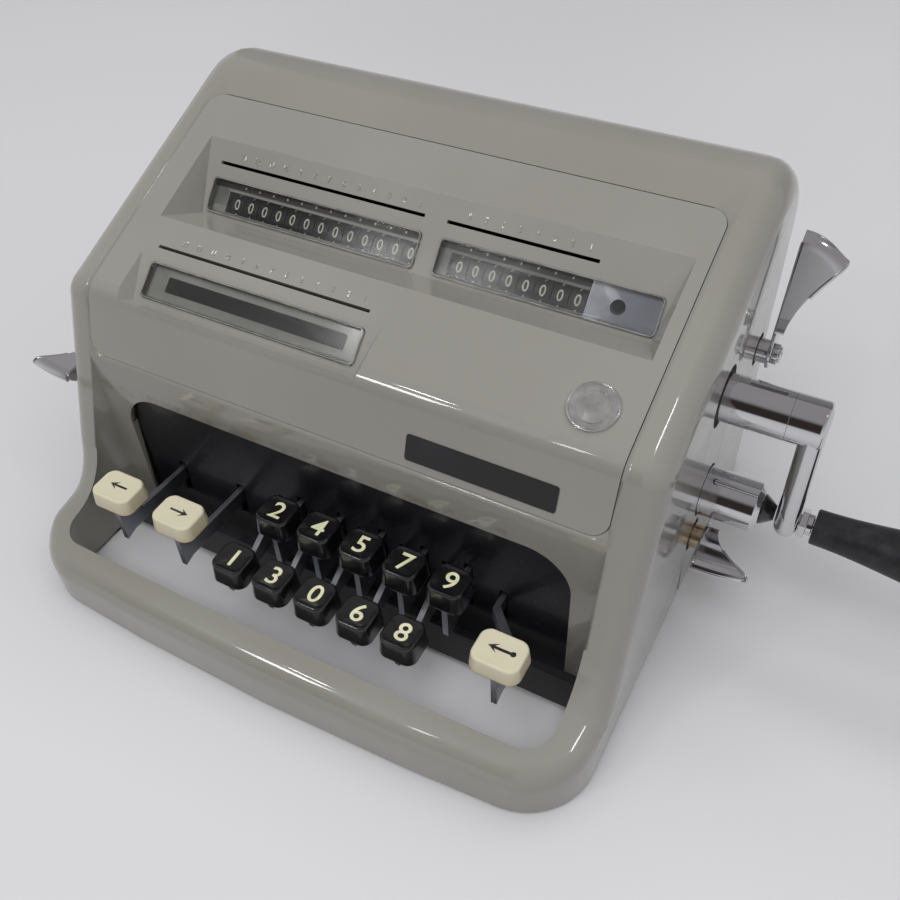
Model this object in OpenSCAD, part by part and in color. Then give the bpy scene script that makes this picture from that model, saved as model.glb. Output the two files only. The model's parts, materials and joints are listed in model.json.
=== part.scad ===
// Hand-cranked ten-key calculating machine, desk model.
// Millimetres. X to the right as seen by the user, Y to the back, Z up, table at Z = 0.
// The drawing is made with X = 0 in the middle of the body and then moved as a whole,
// so that the origin is the middle of the machine's box, on the table.

/* [Body] */
// Width of the painted body over its side walls
body_width = 250; // [220:1:280]
// Thickness of the painted walls
wall = 4; // [3.4:0.1:5]
// Height of the lower edge of the body above the table
rim_z = 2; // [1.5:0.5:4]
// Angle of the upper part of the front from horizontal
slope_angle = 22.66; // [20:0.1:26]
// Angle of the lower part of the front from horizontal
steep_angle = 72; // [68:0.5:76]
// Place of the fold between the two, front to back
fold_y = 30.7; // [28:0.1:33]
// Height of the fold
fold_z = 118.2; // [114:0.1:122]
// Outer radius of the fold
fold_r = 12; // [9:0.5:12]
// Radius of the bend at the top of the back
top_r = 30; // [20:1:34]
// Place of the back wall
back_y = 175.7; // [172:0.1:180]
// Radius of the corners between back and side walls
corner_r = 12.5; // [9:0.5:14]
// Radius of the long edges on either side of the panel
edge_r = 9; // [7:0.5:12]

/* [Carrying rail] */
// Place of the front of the rail at the middle
rail_front_y = -39.4; // [-44:0.1:-37]
// Radius of the front corners of the rail, seen from above
rail_corner_r = 25; // [20:1:28]
// How far the rail bows forward over its length
rail_bow = 3.4; // [1:0.1:5]
// Radius of the front top edge of the rail
rail_edge_r = 11; // [8:0.5:12]
// Height of its top at the front edge
rail_top_z = 24.95; // [24:0.05:26]
// Slope of the top of the rail from horizontal
rail_top_angle = 8; // [4:0.5:12]
// Radius of the flare between the front and the rail
flare_r = 32; // [28:1:36]
// Width of the rail at its top
rail_width = 13.6; // [12:0.1:16]
// Radius of the inner corners of the loop
loop_corner_r = 11; // [8:1:24]
// Half of the width of the loop
loop_half = 111; // [107:0.5:112]

/* [Register panel] */
// Length of the slope from the top seam to the fold
panel_length = 100; // [98:0.5:104]
// Half of the width of the panel
panel_half = 110; // [108:0.5:111]
// Height of the seam under the panel
panel_low_z = 92; // [88:0.5:96]
// Thickness of the panel
panel_t = 2; // [1.6:0.1:2.2]
// Radius of the corners of the panel
panel_corner_r = 7; // [5:0.5:9]
// Width of the seam round the panel
seam = 0.35; // [0.2:0.05:0.6]
// Width of the ledge that the panel rests on
ledge = 2.4; // [2:0.1:2.6]

/* [Recesses of the panel] */
// Top of the upper recess, down the slope from the top seam
upper_s0 = 21; // [19:0.5:23]
// Deepest line of the upper recess
upper_sv = 49; // [48:0.5:50]
// Lower edge of the upper recess
upper_s1 = 62; // [60:0.5:64]
// Depth of the upper recess
upper_d = 12.5; // [11.5:0.1:13.5]
// Left end of the upper recess
upper_x0 = -98.5; // [-100:0.5:-97]
// Right end of the upper recess
upper_x1 = 105; // [103:0.5:105.5]
// Draft of the ends of the upper recess
upper_draft = 6; // [4:0.5:7]
// Top of the lower recess
lower_s0 = 79; // [77:0.5:80]
// Deepest line of the lower recess
lower_sv = 97; // [96.5:0.1:97.5]
// Lower edge of the lower recess, on the line of the slope
lower_s1 = 102.4; // [102:0.1:103]
// Depth of the lower recess
lower_d = 5.6; // [5:0.1:6]
// Left end of the lower recess
lower_x0 = -96.5; // [-98:0.5:-95]
// Right end of the lower recess
lower_x1 = 12.5; // [12:0.5:15]
// Draft of the ends of the lower recess
lower_draft = 4; // [3:0.5:5]

/* [Windows and slots] */
// Left end of the result window
result_x0 = -91.2; // [-92:0.1:-90]
// Right end of the result window
result_x1 = 5.4; // [4.5:0.1:7]
// Left end of the counter window
counter_x0 = 13.2; // [12:0.1:14]
// Right end of the counter window
counter_x1 = 100; // [98:0.1:100.2]
// Left end of the setting window
setting_x0 = -90.1; // [-91:0.1:-89]
// Right end of the setting window
setting_x1 = 7; // [6:0.1:8]
// Height of the windows along the floor of the recess
window_h = 14.6; // [13:0.1:15.5]
// Middle of the upper windows, down the floor of the recess
window_u = 22.3; // [21.8:0.1:22.8]
// Middle of the setting window, down the floor of its recess
setting_u = 9.6; // [9.2:0.1:10]
// Radius of the corners of the windows
window_r = 2; // [1:0.25:3]
// How far the clear windows stand proud of the floor
lens_proud = 0.9; // [0.5:0.1:1.5]
// Thickness of the clear windows over their rim
lens_t = 1.5; // [1:0.1:2]
// Width of the pointer slots
slot_w = 1.3; // [1.1:0.1:2.5]
// Middle line of the upper pointer slots, down the floor
slot_u = 9.1; // [8.6:0.1:9.6]
// Middle line of the lower pointer slot, down the slope
slot_low_s = 74.8; // [74:0.1:75.5]

/* [Badge] */
// Diameter of the round badge
badge_d = 18; // [15:0.5:20]
// Thickness of the badge
badge_t = 1.2; // [0.8:0.1:2]
// Distance of its middle from the right edge of the panel
badge_in = 16.4; // [14.5:0.1:18]
// Place of the badge down the slope
badge_s = 83.7; // [82:0.1:84]

/* [Number wheels] */
// Distance from one number wheel to the next
wheel_pitch = 6.75; // [6.6:0.05:6.8]
// Gap between number wheels
wheel_gap = 0.45; // [0.35:0.05:0.7]
// Diameter of the number wheels
wheel_d = 18; // [16:0.5:19]
// Gap from the mask behind the windows to the wheels
wheel_clear = 0.8; // [0.6:0.1:1.5]
// Middle of the first result wheel
result_wheel_x = -80; // [-80.5:0.1:-79]
// Middle of the first counter wheel
counter_wheel_x = 21.7; // [21:0.1:22.2]
// Diameter of the shaft of the number wheels
wheel_shaft_d = 5; // [4:0.5:6]

/* [Keyboard] */
// Front of the painted face round the keyboard
well_y = 21.5; // [20:0.1:21.9]
// Thickness of that face
well_t = 3; // [2.5:0.1:3.4]
// Half of the width of the keyboard opening
well_half = 100; // [96:0.5:102]
// Height of the top of the keyboard opening
well_top_z = 75; // [73:0.5:79]
// Radius of the top corners of the opening
well_r = 18; // [14:1:28]
// Thickness of the black plate behind the keys
plate_t = 2; // [1.5:0.1:3]
// Distance from one key to the next in a row
key_pitch = 19; // [18.5:0.1:19.5]
// Middle of the first key of the back row
back_key_x = -18.3; // [-19:0.1:-17.5]
// Width of a number key at its foot
cap_w = 16; // [14:0.1:16.4]
// Depth of a number key at its foot
cap_d = 15.5; // [14:0.1:16.2]
// Height of a number key
cap_h = 9.5; // [8:0.1:10]
// Width and depth of the top of a number key
cap_top = 13.6; // [12:0.1:13.8]
// Depth of the dish in the top of a key
dish = 0.7; // [0.3:0.1:1.2]
// Middle of the back row, front to back
back_row_y = 10.5; // [9.5:0.1:11]
// Height of the foot of the back row
back_row_z = 45; // [44.5:0.1:46]
// Middle of the front row, front to back
front_row_y = -9; // [-9.5:0.1:-8.5]
// Height of the foot of the front row
front_row_z = 32; // [31.5:0.1:33]
// Width of a cream key
cream_w = 19.5; // [18:0.1:21]
// Depth of a cream key
cream_d = 15.5; // [14:0.1:17]
// Height of a cream key
cream_h = 7; // [6:0.1:8]
// Middle of the cream keys, front to back
cream_y = -9.5; // [-10:0.1:-8.5]
// Height of the foot of the cream keys
cream_z = 50; // [49:0.1:51]
// Place of the key that steps to the left
left_key_x = -80.8; // [-82:0.1:-79]
// Place of the key that steps to the right
right_key_x = -50.4; // [-51:0.1:-49]
// Place of the return key
return_key_x = 87.6; // [86:0.1:88.5]
// Place where the lever of the return key leaves the plate
return_lever_x = 72.4; // [71.5:0.1:73]
// Thickness of a key lever
lever_t = 2.4; // [2:0.1:2.6]
// Height of the tang that holds a key
tang_h = 4; // [3:0.1:4.5]
// Height of the underside of a key lever where it passes the plate
lever_low_z = 30.5; // [30:0.1:31]
// Room under it in its slot
lever_drop = 8.5; // [8:0.1:9]
// Play of a lever in its slot, each side
lever_play = 0.5; // [0.4:0.05:0.8]
// Place of the shaft that all key levers turn on, front to back
key_shaft_y = 60; // [58:0.5:62]
// Height of that shaft
key_shaft_z = 45; // [44:0.5:46]
// Diameter of that shaft
key_shaft_d = 8; // [6:0.5:9]
// Thickness of the bar under the keys
bar_t = 3; // [2.5:0.1:4]
// Height of the bar itself
bar_h = 15.2; // [13:0.1:16]
// Height of its underside
bar_z = 4.4; // [4:0.1:6]
// Place of its front at the bottom
bar_y = 10; // [9.5:0.1:11]

/* [Crank] */
// Place of the crank, front to back
crank_y = 95.5; // [95:0.1:96]
// Height of the crank
crank_z = 101.3; // [100.8:0.1:101.8]
// Diameter of the crank tube and of the boss of the arm
tube_d = 18; // [16:0.5:19]
// How far the crank tube stands out of the wall
tube_out = 23.5; // [23:0.1:24]
// Length of the boss of the crank arm
boss_l = 12.5; // [12:0.5:15]
// Distance from the crank axis to the axis of the grip
crank_radius = 48.7; // [47:0.1:50]
// Diameter of the eye at the end of the arm
eye_d = 15; // [13:0.5:16]
// Thickness of the eye
eye_t = 9; // [7:0.5:10]
// Thickness of the arm between boss and eye
arm_t = 6; // [4:0.5:7]
// Diameter of the grip at the arm
grip_d0 = 13.8; // [12:0.2:15]
// Largest diameter of the grip
grip_d1 = 22; // [19:0.5:24]
// Length of the grip
grip_l = 78; // [66:1:90]
// Diameter of the spindle in the grip
spindle_d = 6; // [5:0.5:7]
// Width across the flats of the nut
nut_w = 10; // [9:0.5:11]
// Diameter of the journal of the crank in the frame
journal_d = 12; // [10:0.5:14]

/* [Crank rest] */
// Diameter of the rest tube
rest_d = 20; // [18:0.5:20.5]
// How far the rest tube stands out of the wall
rest_out = 22.5; // [21:0.5:23]
// Diameter of the sprung tip
tip_d = 12; // [10:0.5:13]
// How far the tip can be pushed in
tip_travel = 4; // [2:0.5:5]
// How far the tip stands out of the tube
tip_reach = 5.1; // [4:0.1:7]
// Gap from the tip to the arm
tip_gap = 0.4; // [0.35:0.05:0.8]

/* [Plate in the right wall] */
// Width of the plate
side_plate_w = 29; // [27:0.5:31]
// Gap round the plate
side_plate_gap = 0.25; // [0.1:0.05:0.4]
// Height of its top
side_plate_top = 118; // [116.5:0.5:120]
// Play of the crank tube in its hole, each side
crank_hole_play = 3; // [1.5:0.25:3.5]
// Play of the rest tube in its hole, each side
rest_hole_play = 1; // [0.5:0.25:1.5]

/* [Clearing levers] */
// Place of the upper lever, front to back
upper_lever_y = 147.8; // [146:0.1:150]
// Height of the upper lever
upper_lever_z = 84.4; // [82:0.1:86]
// Place of the lower lever, front to back
lower_lever_y = 88.5; // [86:0.1:90]
// Height of the lower lever
lower_lever_z = 33; // [31:0.1:34]
// Place of the left lever, front to back
left_lever_y = 39.7; // [38:0.1:42]
// Height of the left lever
left_lever_z = 66.7; // [65:0.1:69]
// Diameter of the hubs
hub_d = 10; // [8:0.5:11]
// Play of the hubs in the wall, each side
hub_play = 2; // [1:0.25:2.5]
// Distance from the wall to the lever plates
hub_out = 4.5; // [4:0.1:6]
// Thickness of the lever plates
sheet = 1.5; // [1.2:0.1:2]
// Length of the upper lever from its hub
upper_lever_l = 46; // [42:0.5:48]
// Lean of the upper lever from upright, to the back
upper_lever_lean = 23; // [20:0.5:26]
// How far the upper wing reaches out from the plate
upper_wing = 16.5; // [12:0.5:17]
// Length of the lower lever from its hub, to the front
lower_lever_l = 19; // [16:0.5:22]
// How far the lower wing reaches out from the plate
lower_wing = 25.5; // [20:0.5:28]
// Diameter of the pins of the levers in the frame
pin_d = 6; // [5:0.5:7]

/* [Inside] */
// Diameter of the pinwheel rotor
rotor_d = 52; // [44:1:54]
// Number of discs of the rotor
rotor_discs = 10; // [6:1:10]
// Diameter of the rotor shaft
rotor_shaft_d = 8; // [6:0.5:10]
// Number of teeth of the crank gears
teeth = 16; // [14:1:18]
// Module of the crank gears
gear_module = 1.5; // [1.4:0.05:1.6]
// Distance from the outside of the body to the middle of a side plate of the frame
frame_inset = 18; // [17.5:0.1:18.5]
// Width of the crank gears
gear_w = 7; // [5:0.5:9]
// Gap from the gears to the side plate of the frame
gear_gap = 10.5; // [8:0.5:12]
// Width of a disc of the rotor
disc_t = 4; // [3:0.5:6]
// Free space at the left end of the rotor
rotor_gap = 20.5; // [18:0.5:24]
// Space between the last disc and the gears
disc_gap = 25; // [18:0.5:28]
// Thickness of the side plates
frame_t = 3; // [2:0.1:3.4]
// Diameter of the tie rods
tie_d = 8; // [6:0.5:10]
// Radial clearance of everything that turns
run = 0.05; // [0.02:0.01:0.09]

/* [Base] */
// Thickness of the base plate
base_t = 2; // [1.5:0.1:3]
// Gap round the base plate
base_gap = 0.3; // [0.2:0.1:0.8]
// Diameter of the rubber feet
foot_d = 12; // [10:0.5:13]
// Diameter of the spigots of the feet
foot_pin_d = 6; // [4:0.5:7]
// Diameter of the heads of the base screws
screw_d = 8; // [6:0.5:9]

/* [Hidden] */
$fn = 64;
tiny = 0.01;
half = body_width / 2;
badge_x = panel_half - badge_in;
tube_end_x = half + tube_out;
rest_end_x = half + rest_out;
frame_x = half - frame_inset;

// places that follow from the sizes above
slope_dir = [cos(slope_angle), sin(slope_angle)];
slope_out = [-sin(slope_angle), cos(slope_angle)];
steep_dir = [cos(steep_angle), sin(steep_angle)];
steep_out = [-sin(steep_angle), cos(steep_angle)];
fold = [fold_y, fold_z];
seam_top = fold + panel_length * slope_dir;
fold_turn = (steep_angle - slope_angle) / 2;
fold_tangent = fold_r * tan(fold_turn);
fold_a = fold + fold_tangent * slope_dir;
fold_b = fold - fold_tangent * steep_dir;
fold_c = fold_a - fold_r * slope_out;
steep_length = (fold_z - panel_low_z) / sin(steep_angle);
top_c = [back_y - top_r, fold_z + (back_y - top_r - fold_y) * tan(slope_angle)
  - top_r / cos(slope_angle)];
rail_dir = [cos(rail_top_angle), sin(rail_top_angle)];
rail_corner = [rail_front_y, rail_top_z];
rail_edge_t = rail_edge_r * tan(45 - rail_top_angle / 2);
flare_corner_y = (rail_top_z - rail_front_y * tan(rail_top_angle) - fold_z
  + fold_y * tan(steep_angle)) / (tan(steep_angle) - tan(rail_top_angle));
flare_corner = [flare_corner_y, fold_z - (fold_y - flare_corner_y) * tan(steep_angle)];
flare_t = flare_r * tan((steep_angle - rail_top_angle) / 2);
flare_c = flare_corner + flare_t * steep_dir + flare_r * steep_out;
rail_inner_y = rail_front_y + rail_width;
well_back_y = well_y + well_t;
plate_back_y = well_back_y + plate_t;
inner_half = half - wall;
upper_angle = atan(upper_d / (upper_sv - upper_s0));
lower_angle = atan(lower_d / (lower_sv - lower_s0));
mask_t = 1;
wheel_depth = panel_t + mask_t + wheel_clear + wheel_d / 2;
wheel_u = window_u + 1.2;
floor_tilt = slope_angle + upper_angle;
floor_top = seam_top - upper_s0 * slope_dir;
wheel_yz = floor_top - wheel_u * [cos(floor_tilt), sin(floor_tilt)]
  - wheel_depth * [-sin(floor_tilt), cos(floor_tilt)];
pitch_r = gear_module * teeth / 2;
rotor_yz = [crank_y, crank_z] + 2 * pitch_r * [-0.15, -sqrt(1 - 0.15 * 0.15)];
rotor_turn = 180 + 180 / teeth + 2 * atan2(-sqrt(1 - 0.15 * 0.15), -0.15);
grip_z = crank_z - crank_radius;
eye_x = rest_end_x + tip_reach + tip_gap;
eye_end = eye_x + eye_t;
grip_x = eye_end + 5;
plate_x = half + hub_out;
frame_in = frame_x - frame_t / 2;
frame_front_y = key_shaft_y - key_shaft_d / 2 - 22;
frame_back_y = back_y - wall - 13.7;
frame_out = frame_x + frame_t / 2;
front_key_x = back_key_x - key_pitch / 2;
slot_low = lever_low_z - lever_drop;
slot_over = 2.5;
front_top_z = front_row_z + 9;
cream_top_z = cream_z - 13;
gear_x1 = frame_in - gear_gap;
gear_x0 = gear_x1 - gear_w;
foot_front = [half - wall - foot_d / 2 + 2.3, 5];
foot_rear = [frame_in - foot_pin_d / 2 - 2, frame_back_y + 2];
mid_x = (grip_x + grip_l - plate_x - lower_wing) / 2;
mid_y = (rail_front_y + back_y) / 2;
paint = [0.56, 0.56, 0.52];
steel = [0.62, 0.64, 0.68];
chrome = [0.82, 0.82, 0.84];
black = [0.09, 0.09, 0.1];
cream = [0.88, 0.85, 0.72];

module placed() {
  translate([-mid_x, -mid_y, 0]) children();
}

// turns a drawing in Y and Z into a solid from x0 to x1
module along_x(x0, x1) {
  translate([x0, 0, 0]) rotate([90, 0, 90]) linear_extrude(height = x1 - x0) children();
}

module rod(x0, x1, p, d) {
  translate([x0, p[0], p[1]]) rotate([0, 90, 0]) cylinder(d = d, h = x1 - x0);
}

module cone(x0, x1, p, d0, d1) {
  translate([x0, p[0], p[1]]) rotate([0, 90, 0]) cylinder(d1 = d0, d2 = d1, h = x1 - x0);
}

// local frames: X across, -Y down the surface, Z out of it
module on_slope() {
  translate([0, seam_top[0], seam_top[1]]) rotate([slope_angle, 0, 0]) children();
}

module on_steep() {
  translate([0, fold_y, fold_z]) rotate([steep_angle, 0, 0]) children();
}

module on_upper_floor() {
  on_slope() translate([0, -upper_s0, 0]) rotate([upper_angle, 0, 0]) children();
}

module on_lower_floor() {
  on_slope() translate([0, -lower_s0, 0]) rotate([lower_angle, 0, 0]) children();
}

module rounded(w, h, r) {
  translate([-w / 2 + r, -h / 2]) square([w - 2 * r, h]);
  translate([-w / 2, -h / 2 + r]) square([w, h - 2 * r]);
  for (i = [-1, 1], j = [-1, 1]) translate([i * (w / 2 - r), j * (h / 2 - r)]) circle(r = r);
}

// Body: one profile, drawn from the front of the rail over the top to the back.
// Each row is y, z, outward normal, radius of the side edge, share of the corner in plan.
function ease(y) = min(1, max(0, (flare_corner[0] + 6 - y) / (flare_corner[0] + 6 - rail_inner_y)));
function bend(c, r, a0, a1, n, e0, e1, s) = [for (i = [0:n])
  let (a = a0 + (a1 - a0) * i / n, y = c[0] + r * cos(a))
  [y, c[1] + r * sin(a), s * cos(a), s * sin(a), e0 + (e1 - e0) * i / n, ease(y)]];
rail_c = rail_corner + rail_edge_t * rail_dir - rail_edge_r * [-rail_dir[1], rail_dir[0]];
function upper_rows(low) = concat(
  bend(fold_c, fold_r, 90 + steep_angle, 90 + slope_angle, 5, edge_r, edge_r + 2, 1),
  bend(top_c, top_r, 90 + slope_angle, 0, 10, corner_r, corner_r, 1),
  [[back_y, low, 1, 0, corner_r, 0]]);
function outside_rows(low) = concat(
  [[rail_front_y, low, -1, 0, 0, 1]],
  bend(rail_c, rail_edge_r, 180, 90 + rail_top_angle, 7, 0, 6, 1),
  bend(flare_c, flare_r, rail_top_angle - 90, steep_angle - 90, 8, 6, edge_r, -1),
  upper_rows(low));
// the hollow starts at the steep face, so the rail and the arms stay solid
function hollow_rows(low) = concat(
  [[flare_corner[0], low, 0, 0, 0, 0]],
  [concat(flare_corner, steep_out, [edge_r, 0])],
  upper_rows(low));
function drop(x, hw, r) = r <= 0 ? 0 : let (d = max(0, abs(x) - hw + r)) r - sqrt(max(0, r * r - d * d));
function stations(hw, r) = concat([for (a = [90:-10:0]) -hw + r * (1 - sin(a))], [-hw / 2, 0, hw / 2],
  [for (a = [0:10:90]) hw - r * (1 - sin(a))]);
function place_row(p, x, hw, t) =
  let (c = p[5] * (drop(x, hw, rail_corner_r - t) + rail_bow * x * x / (half * half * 0.58)),
    e = t + drop(x, hw, max(0, p[4] - t)))
  [x, p[0] + c - p[2] * e, p[1] - p[3] * e];

// a body with these rows as its side view, every surface t further in
module body_shape(rows, t) {
  hw = half - t;
  xs = stations(hw, rail_corner_r - t);
  m = len(rows);
  n = len(xs);
  polyhedron(
    points = [for (x = xs) for (p = rows) place_row(p, x, hw, t)],
    faces = concat(
      [for (i = [0:n - 2]) for (j = [0:m - 2]) [i * m + j, (i + 1) * m + j + 1, (i + 1) * m + j]],
      [for (i = [0:n - 2]) for (j = [0:m - 2]) [i * m + j, i * m + j + 1, (i + 1) * m + j + 1]],
      [for (i = [0:n - 2]) [i * m, (i + 1) * m, (i + 1) * m + m - 1, i * m + m - 1]],
      [[for (j = [m - 1:-1:0]) j]],
      [[for (j = [0:m - 1]) (n - 1) * m + j]]),
    convexity = 6);
}

// the opening between the rail, the arms and the face round the keyboard, seen from above
module loop_outline() {
  flat_half = loop_half - loop_corner_r;
  bow = rail_bow * 0.45;
  front = rail_inner_y + bow;
  bow_r = (flat_half * flat_half + bow * bow) / (2 * bow);
  translate([-loop_half, front + loop_corner_r])
    square([2 * loop_half, well_y - front - loop_corner_r]);
  for (i = [-1, 1]) translate([i * flat_half, front + loop_corner_r]) circle(r = loop_corner_r);
  intersection() {
    translate([0, rail_inner_y + bow_r]) circle(r = bow_r, $fn = 1440);
    translate([-flat_half, rail_inner_y - 1]) square([2 * flat_half, well_y - rail_inner_y + 1]);
  }
}

// side view of the front surface, d further in, longer by grow at both ends
function fold_path(grow, d) = concat([seam_top + grow * slope_dir - d * slope_out],
  [for (i = [0:5]) let (a = 90 + slope_angle + (steep_angle - slope_angle) * i / 5)
    fold_c + (fold_r - d) * [cos(a), sin(a)]],
  [fold - (steep_length + grow) * steep_dir - d * steep_out]);
function backwards(v) = [for (i = [len(v) - 1:-1:0]) v[i]];

// a slab that follows the panel: slope, fold and steep part, with rounded corners
module panel_slab(grow, depth, above) {
  h = panel_half + grow;
  r = panel_corner_r + grow;
  difference() {
    along_x(-h, h) polygon(concat(fold_path(grow, -above), backwards(fold_path(grow, depth))));
    for (i = [0, 1]) mirror([i, 0, 0]) {
      on_slope() translate([h - r, grow - r, -depth - 1]) linear_extrude(height = depth + above + 2)
        quarter_corner(r);
      on_steep() translate([h - r, r - steep_length - grow, -depth - 1])
        linear_extrude(height = depth + above + 2) mirror([0, 1]) quarter_corner(r);
    }
  }
}

// what is left of a square corner outside a round one
module quarter_corner(r) {
  difference() {
    square(r + 1);
    circle(r = r);
  }
}

// a trough with a sloping floor, a lip and drafted ends, every face t further out
module trough(x0, x1, s0, sv, s1, d, draft, t, above) {
  ta = d / (sv - s0);
  tl = d / (s1 - sv);
  a0 = s0 - t / sin(atan(ta));
  a1 = s1 + t / sin(atan(tl));
  v = (ta * a0 + tl * a1) / (ta + tl);
  dv = ta * (v - a0);
  g = t / sin(atan(d / draft));
  k = draft / d;
  on_slope() polyhedron(
    points = [
      [x0 - g - k * above, -a0 + above / ta, above], [x1 + g + k * above, -a0 + above / ta, above],
      [x1 + g + k * above, -a1 - above / tl, above], [x0 - g - k * above, -a1 - above / tl, above],
      [x0 - g + k * dv, -v, -dv], [x1 + g - k * dv, -v, -dv]],
    faces = [[0, 2, 3], [0, 1, 2], [0, 5, 1], [0, 4, 5], [2, 4, 3], [2, 5, 4], [0, 3, 4], [1, 5, 2]]);
}

module upper_trough(t, above) {
  trough(upper_x0, upper_x1, upper_s0, upper_sv, upper_s1, upper_d, upper_draft, t, above);
}

module lower_trough(t, above) {
  trough(lower_x0, lower_x1, lower_s0, lower_sv, lower_s1, lower_d, lower_draft, t, above);
}

// everything behind the outer surface of the panel
module behind_panel() {
  deep = 30;
  along_x(-panel_half, panel_half) polygon(concat(fold_path(0, 0),
    [fold - steep_length * steep_dir - deep * steep_out, seam_top - deep * slope_out]));
}

module window_hole(x0, x1, u, grow, z0, z1) {
  translate([(x0 + x1) / 2, -u, z0]) linear_extrude(height = z1 - z0)
    rounded(x1 - x0 + 2 * grow, window_h + 2 * grow, window_r + max(grow, -window_r / 2));
}

module windows_cut(grow, z0, z1) {
  on_upper_floor() window_hole(result_x0, result_x1, window_u, grow, z0, z1);
  on_upper_floor() window_hole(counter_x0, counter_x1, window_u, grow, z0, z1);
  on_lower_floor() window_hole(setting_x0, setting_x1, setting_u, grow, z0, z1);
}

module slot_cut(x0, x1, y) {
  translate([x0, y - slot_w / 2, -8]) cube([x1 - x0, slot_w, 10]);
}

module housing() {
  color(paint) placed() difference() {
    union() {
      difference() {
        body_shape(outside_rows(rim_z), 0);
        intersection() {
          body_shape(hollow_rows(-2), wall);
          translate([-half, well_back_y, -3]) cube([body_width, 200, 200]);
        }
      }
      for (i = [-1, 1], y = [well_back_y + 12, back_y - wall - 8])
        translate([i * (inner_half - 4), y, rim_z + base_t]) cylinder(d = 12, h = 18);
    }
    translate([0, 0, -1]) linear_extrude(height = panel_low_z + 3) loop_outline();
    translate([0, well_back_y + 1, 0]) rotate([90, 0, 0]) linear_extrude(height = well_t + 2) well_outline(0);
    panel_slab(seam, panel_t, 12);
    panel_slab(-ledge, fold_r - 2, 12);
    side_plate_solid(half - wall - 1, half + 1, side_plate_gap);
    rod(-half - 1, -inner_half + 1, [left_lever_y, left_lever_z], hub_d + 2 * hub_play);
    rod(inner_half - 1, half + 1, [upper_lever_y, upper_lever_z], hub_d + 2 * hub_play);
    rod(inner_half - 1, half + 1, [lower_lever_y, lower_lever_z], hub_d + 2 * hub_play);
    for (i = [-1, 1]) translate([i * foot_front[0], foot_front[1], 0]) cylinder(d = foot_pin_d, h = rim_z + 4);
    base_screw_places() translate([0, 0, rim_z]) cylinder(d = screw_d / 2, h = base_t + 12);
  }
}

module well_outline(grow) {
  w = well_half + grow;
  t = well_top_z + grow;
  r = well_r + grow;
  translate([-w, -5]) square([2 * w, t - r + 5]);
  translate([-w + r, -5]) square([2 * (w - r), t + 5]);
  for (i = [-1, 1]) translate([i * (w - r), t - r]) circle(r = r);
}

module base_screw_places() {
  for (i = [-1, 1], y = [well_back_y + 12, back_y - wall - 8]) translate([i * (inner_half - 4), y, 0]) children();
}

module side_plate_solid(x0, x1, grow) {
  w = side_plate_w / 2 + grow;
  along_x(x0, x1) union() {
    translate([crank_y - w, -3]) square([2 * w, side_plate_top - side_plate_w / 2 + 3]);
    translate([crank_y, side_plate_top - side_plate_w / 2]) circle(r = w);
  }
}

module side_plate() {
  color(paint) placed() difference() {
    union() {
      intersection() {
        side_plate_solid(half - wall - tiny, half, 0);
        translate([0, 0, rim_z]) cube([half, 200, 200]);
      }
      intersection() {
        side_plate_solid(half - wall - 1.5, half - wall, 4);
        translate([0, 0, rim_z + base_t + 1]) cube([half, 200, 200]);
      }
    }
    rod(inner_half - 4, half + 1, [crank_y, crank_z], tube_d + 2 * crank_hole_play);
    rod(inner_half - 4, half + 1, [crank_y, grip_z], rest_d + 2 * rest_hole_play);
    translate([0, 0, -tiny]) along_x(half - wall - tiny, half + 1)
      polygon([[crank_y - side_plate_w / 2 - 1, 0], [crank_y - side_plate_w / 2 + 3.2, 0],
        [crank_y - side_plate_w / 2 + 2.4, 5], [crank_y - side_plate_w / 2 - tiny, 24],
        [crank_y - side_plate_w / 2 - 1, 24]]);
    translate([0, lower_lever_y, lower_lever_z]) rotate([0, 90, 0])
      cylinder(d = hub_d + 2 * hub_play, h = half + 1);
  }
}

module base_plate() {
  color(steel) placed() difference() {
    translate([0, 0, rim_z]) linear_extrude(height = base_t) difference() {
      w = 2 * (inner_half - base_gap);
      y0 = plate_back_y + base_gap;
      y1 = back_y - wall - base_gap;
      translate([0, (y0 + y1) / 2]) rounded(w, y1 - y0, corner_r - wall);
      for (i = [-1, 1]) translate([i * foot_rear[0], foot_rear[1]]) circle(d = foot_pin_d);
    }
    base_screw_places() translate([0, 0, rim_z - 1]) cylinder(d = screw_d / 2, h = base_t + 2);
  }
}

module feet() {
  color(black) placed() {
    for (i = [-1, 1]) {
      translate([i * foot_front[0], foot_front[1], 0]) cylinder(d = foot_d, h = rim_z);
      translate([i * foot_front[0], foot_front[1], rim_z - tiny]) cylinder(d = foot_pin_d, h = 4 - tiny);
      translate([i * foot_rear[0], foot_rear[1], 0]) cylinder(d = foot_d, h = rim_z);
      translate([i * foot_rear[0], foot_rear[1], rim_z - tiny]) cylinder(d = foot_pin_d, h = base_t + 1);
    }
  }
}

module base_screws() {
  color(steel) placed() base_screw_places() {
    translate([0, 0, rim_z - 1.4]) cylinder(d = screw_d, h = 1.4);
    translate([0, 0, rim_z - tiny]) cylinder(d = screw_d / 2, h = base_t + 10);
  }
}

module register_panel() {
  color(paint) placed() difference() {
    union() {
      panel_slab(0, panel_t, 0);
      intersection() {
        union() {
          upper_trough(panel_t, 0);
          lower_trough(panel_t, 0);
        }
        behind_panel();
      }
    }
    upper_trough(0, 1);
    lower_trough(0, 1);
    windows_cut(0, -6, 6);
    on_upper_floor() slot_cut(result_x0 + 1, result_x1 - 1.4, -slot_u);
    on_upper_floor() slot_cut(counter_x0 + 0.2, counter_x1 - 26.6, -slot_u);
    on_slope() slot_cut(setting_x0 - 0.8, setting_x1 - 1.9, -slot_low_s);
  }
}

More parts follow.
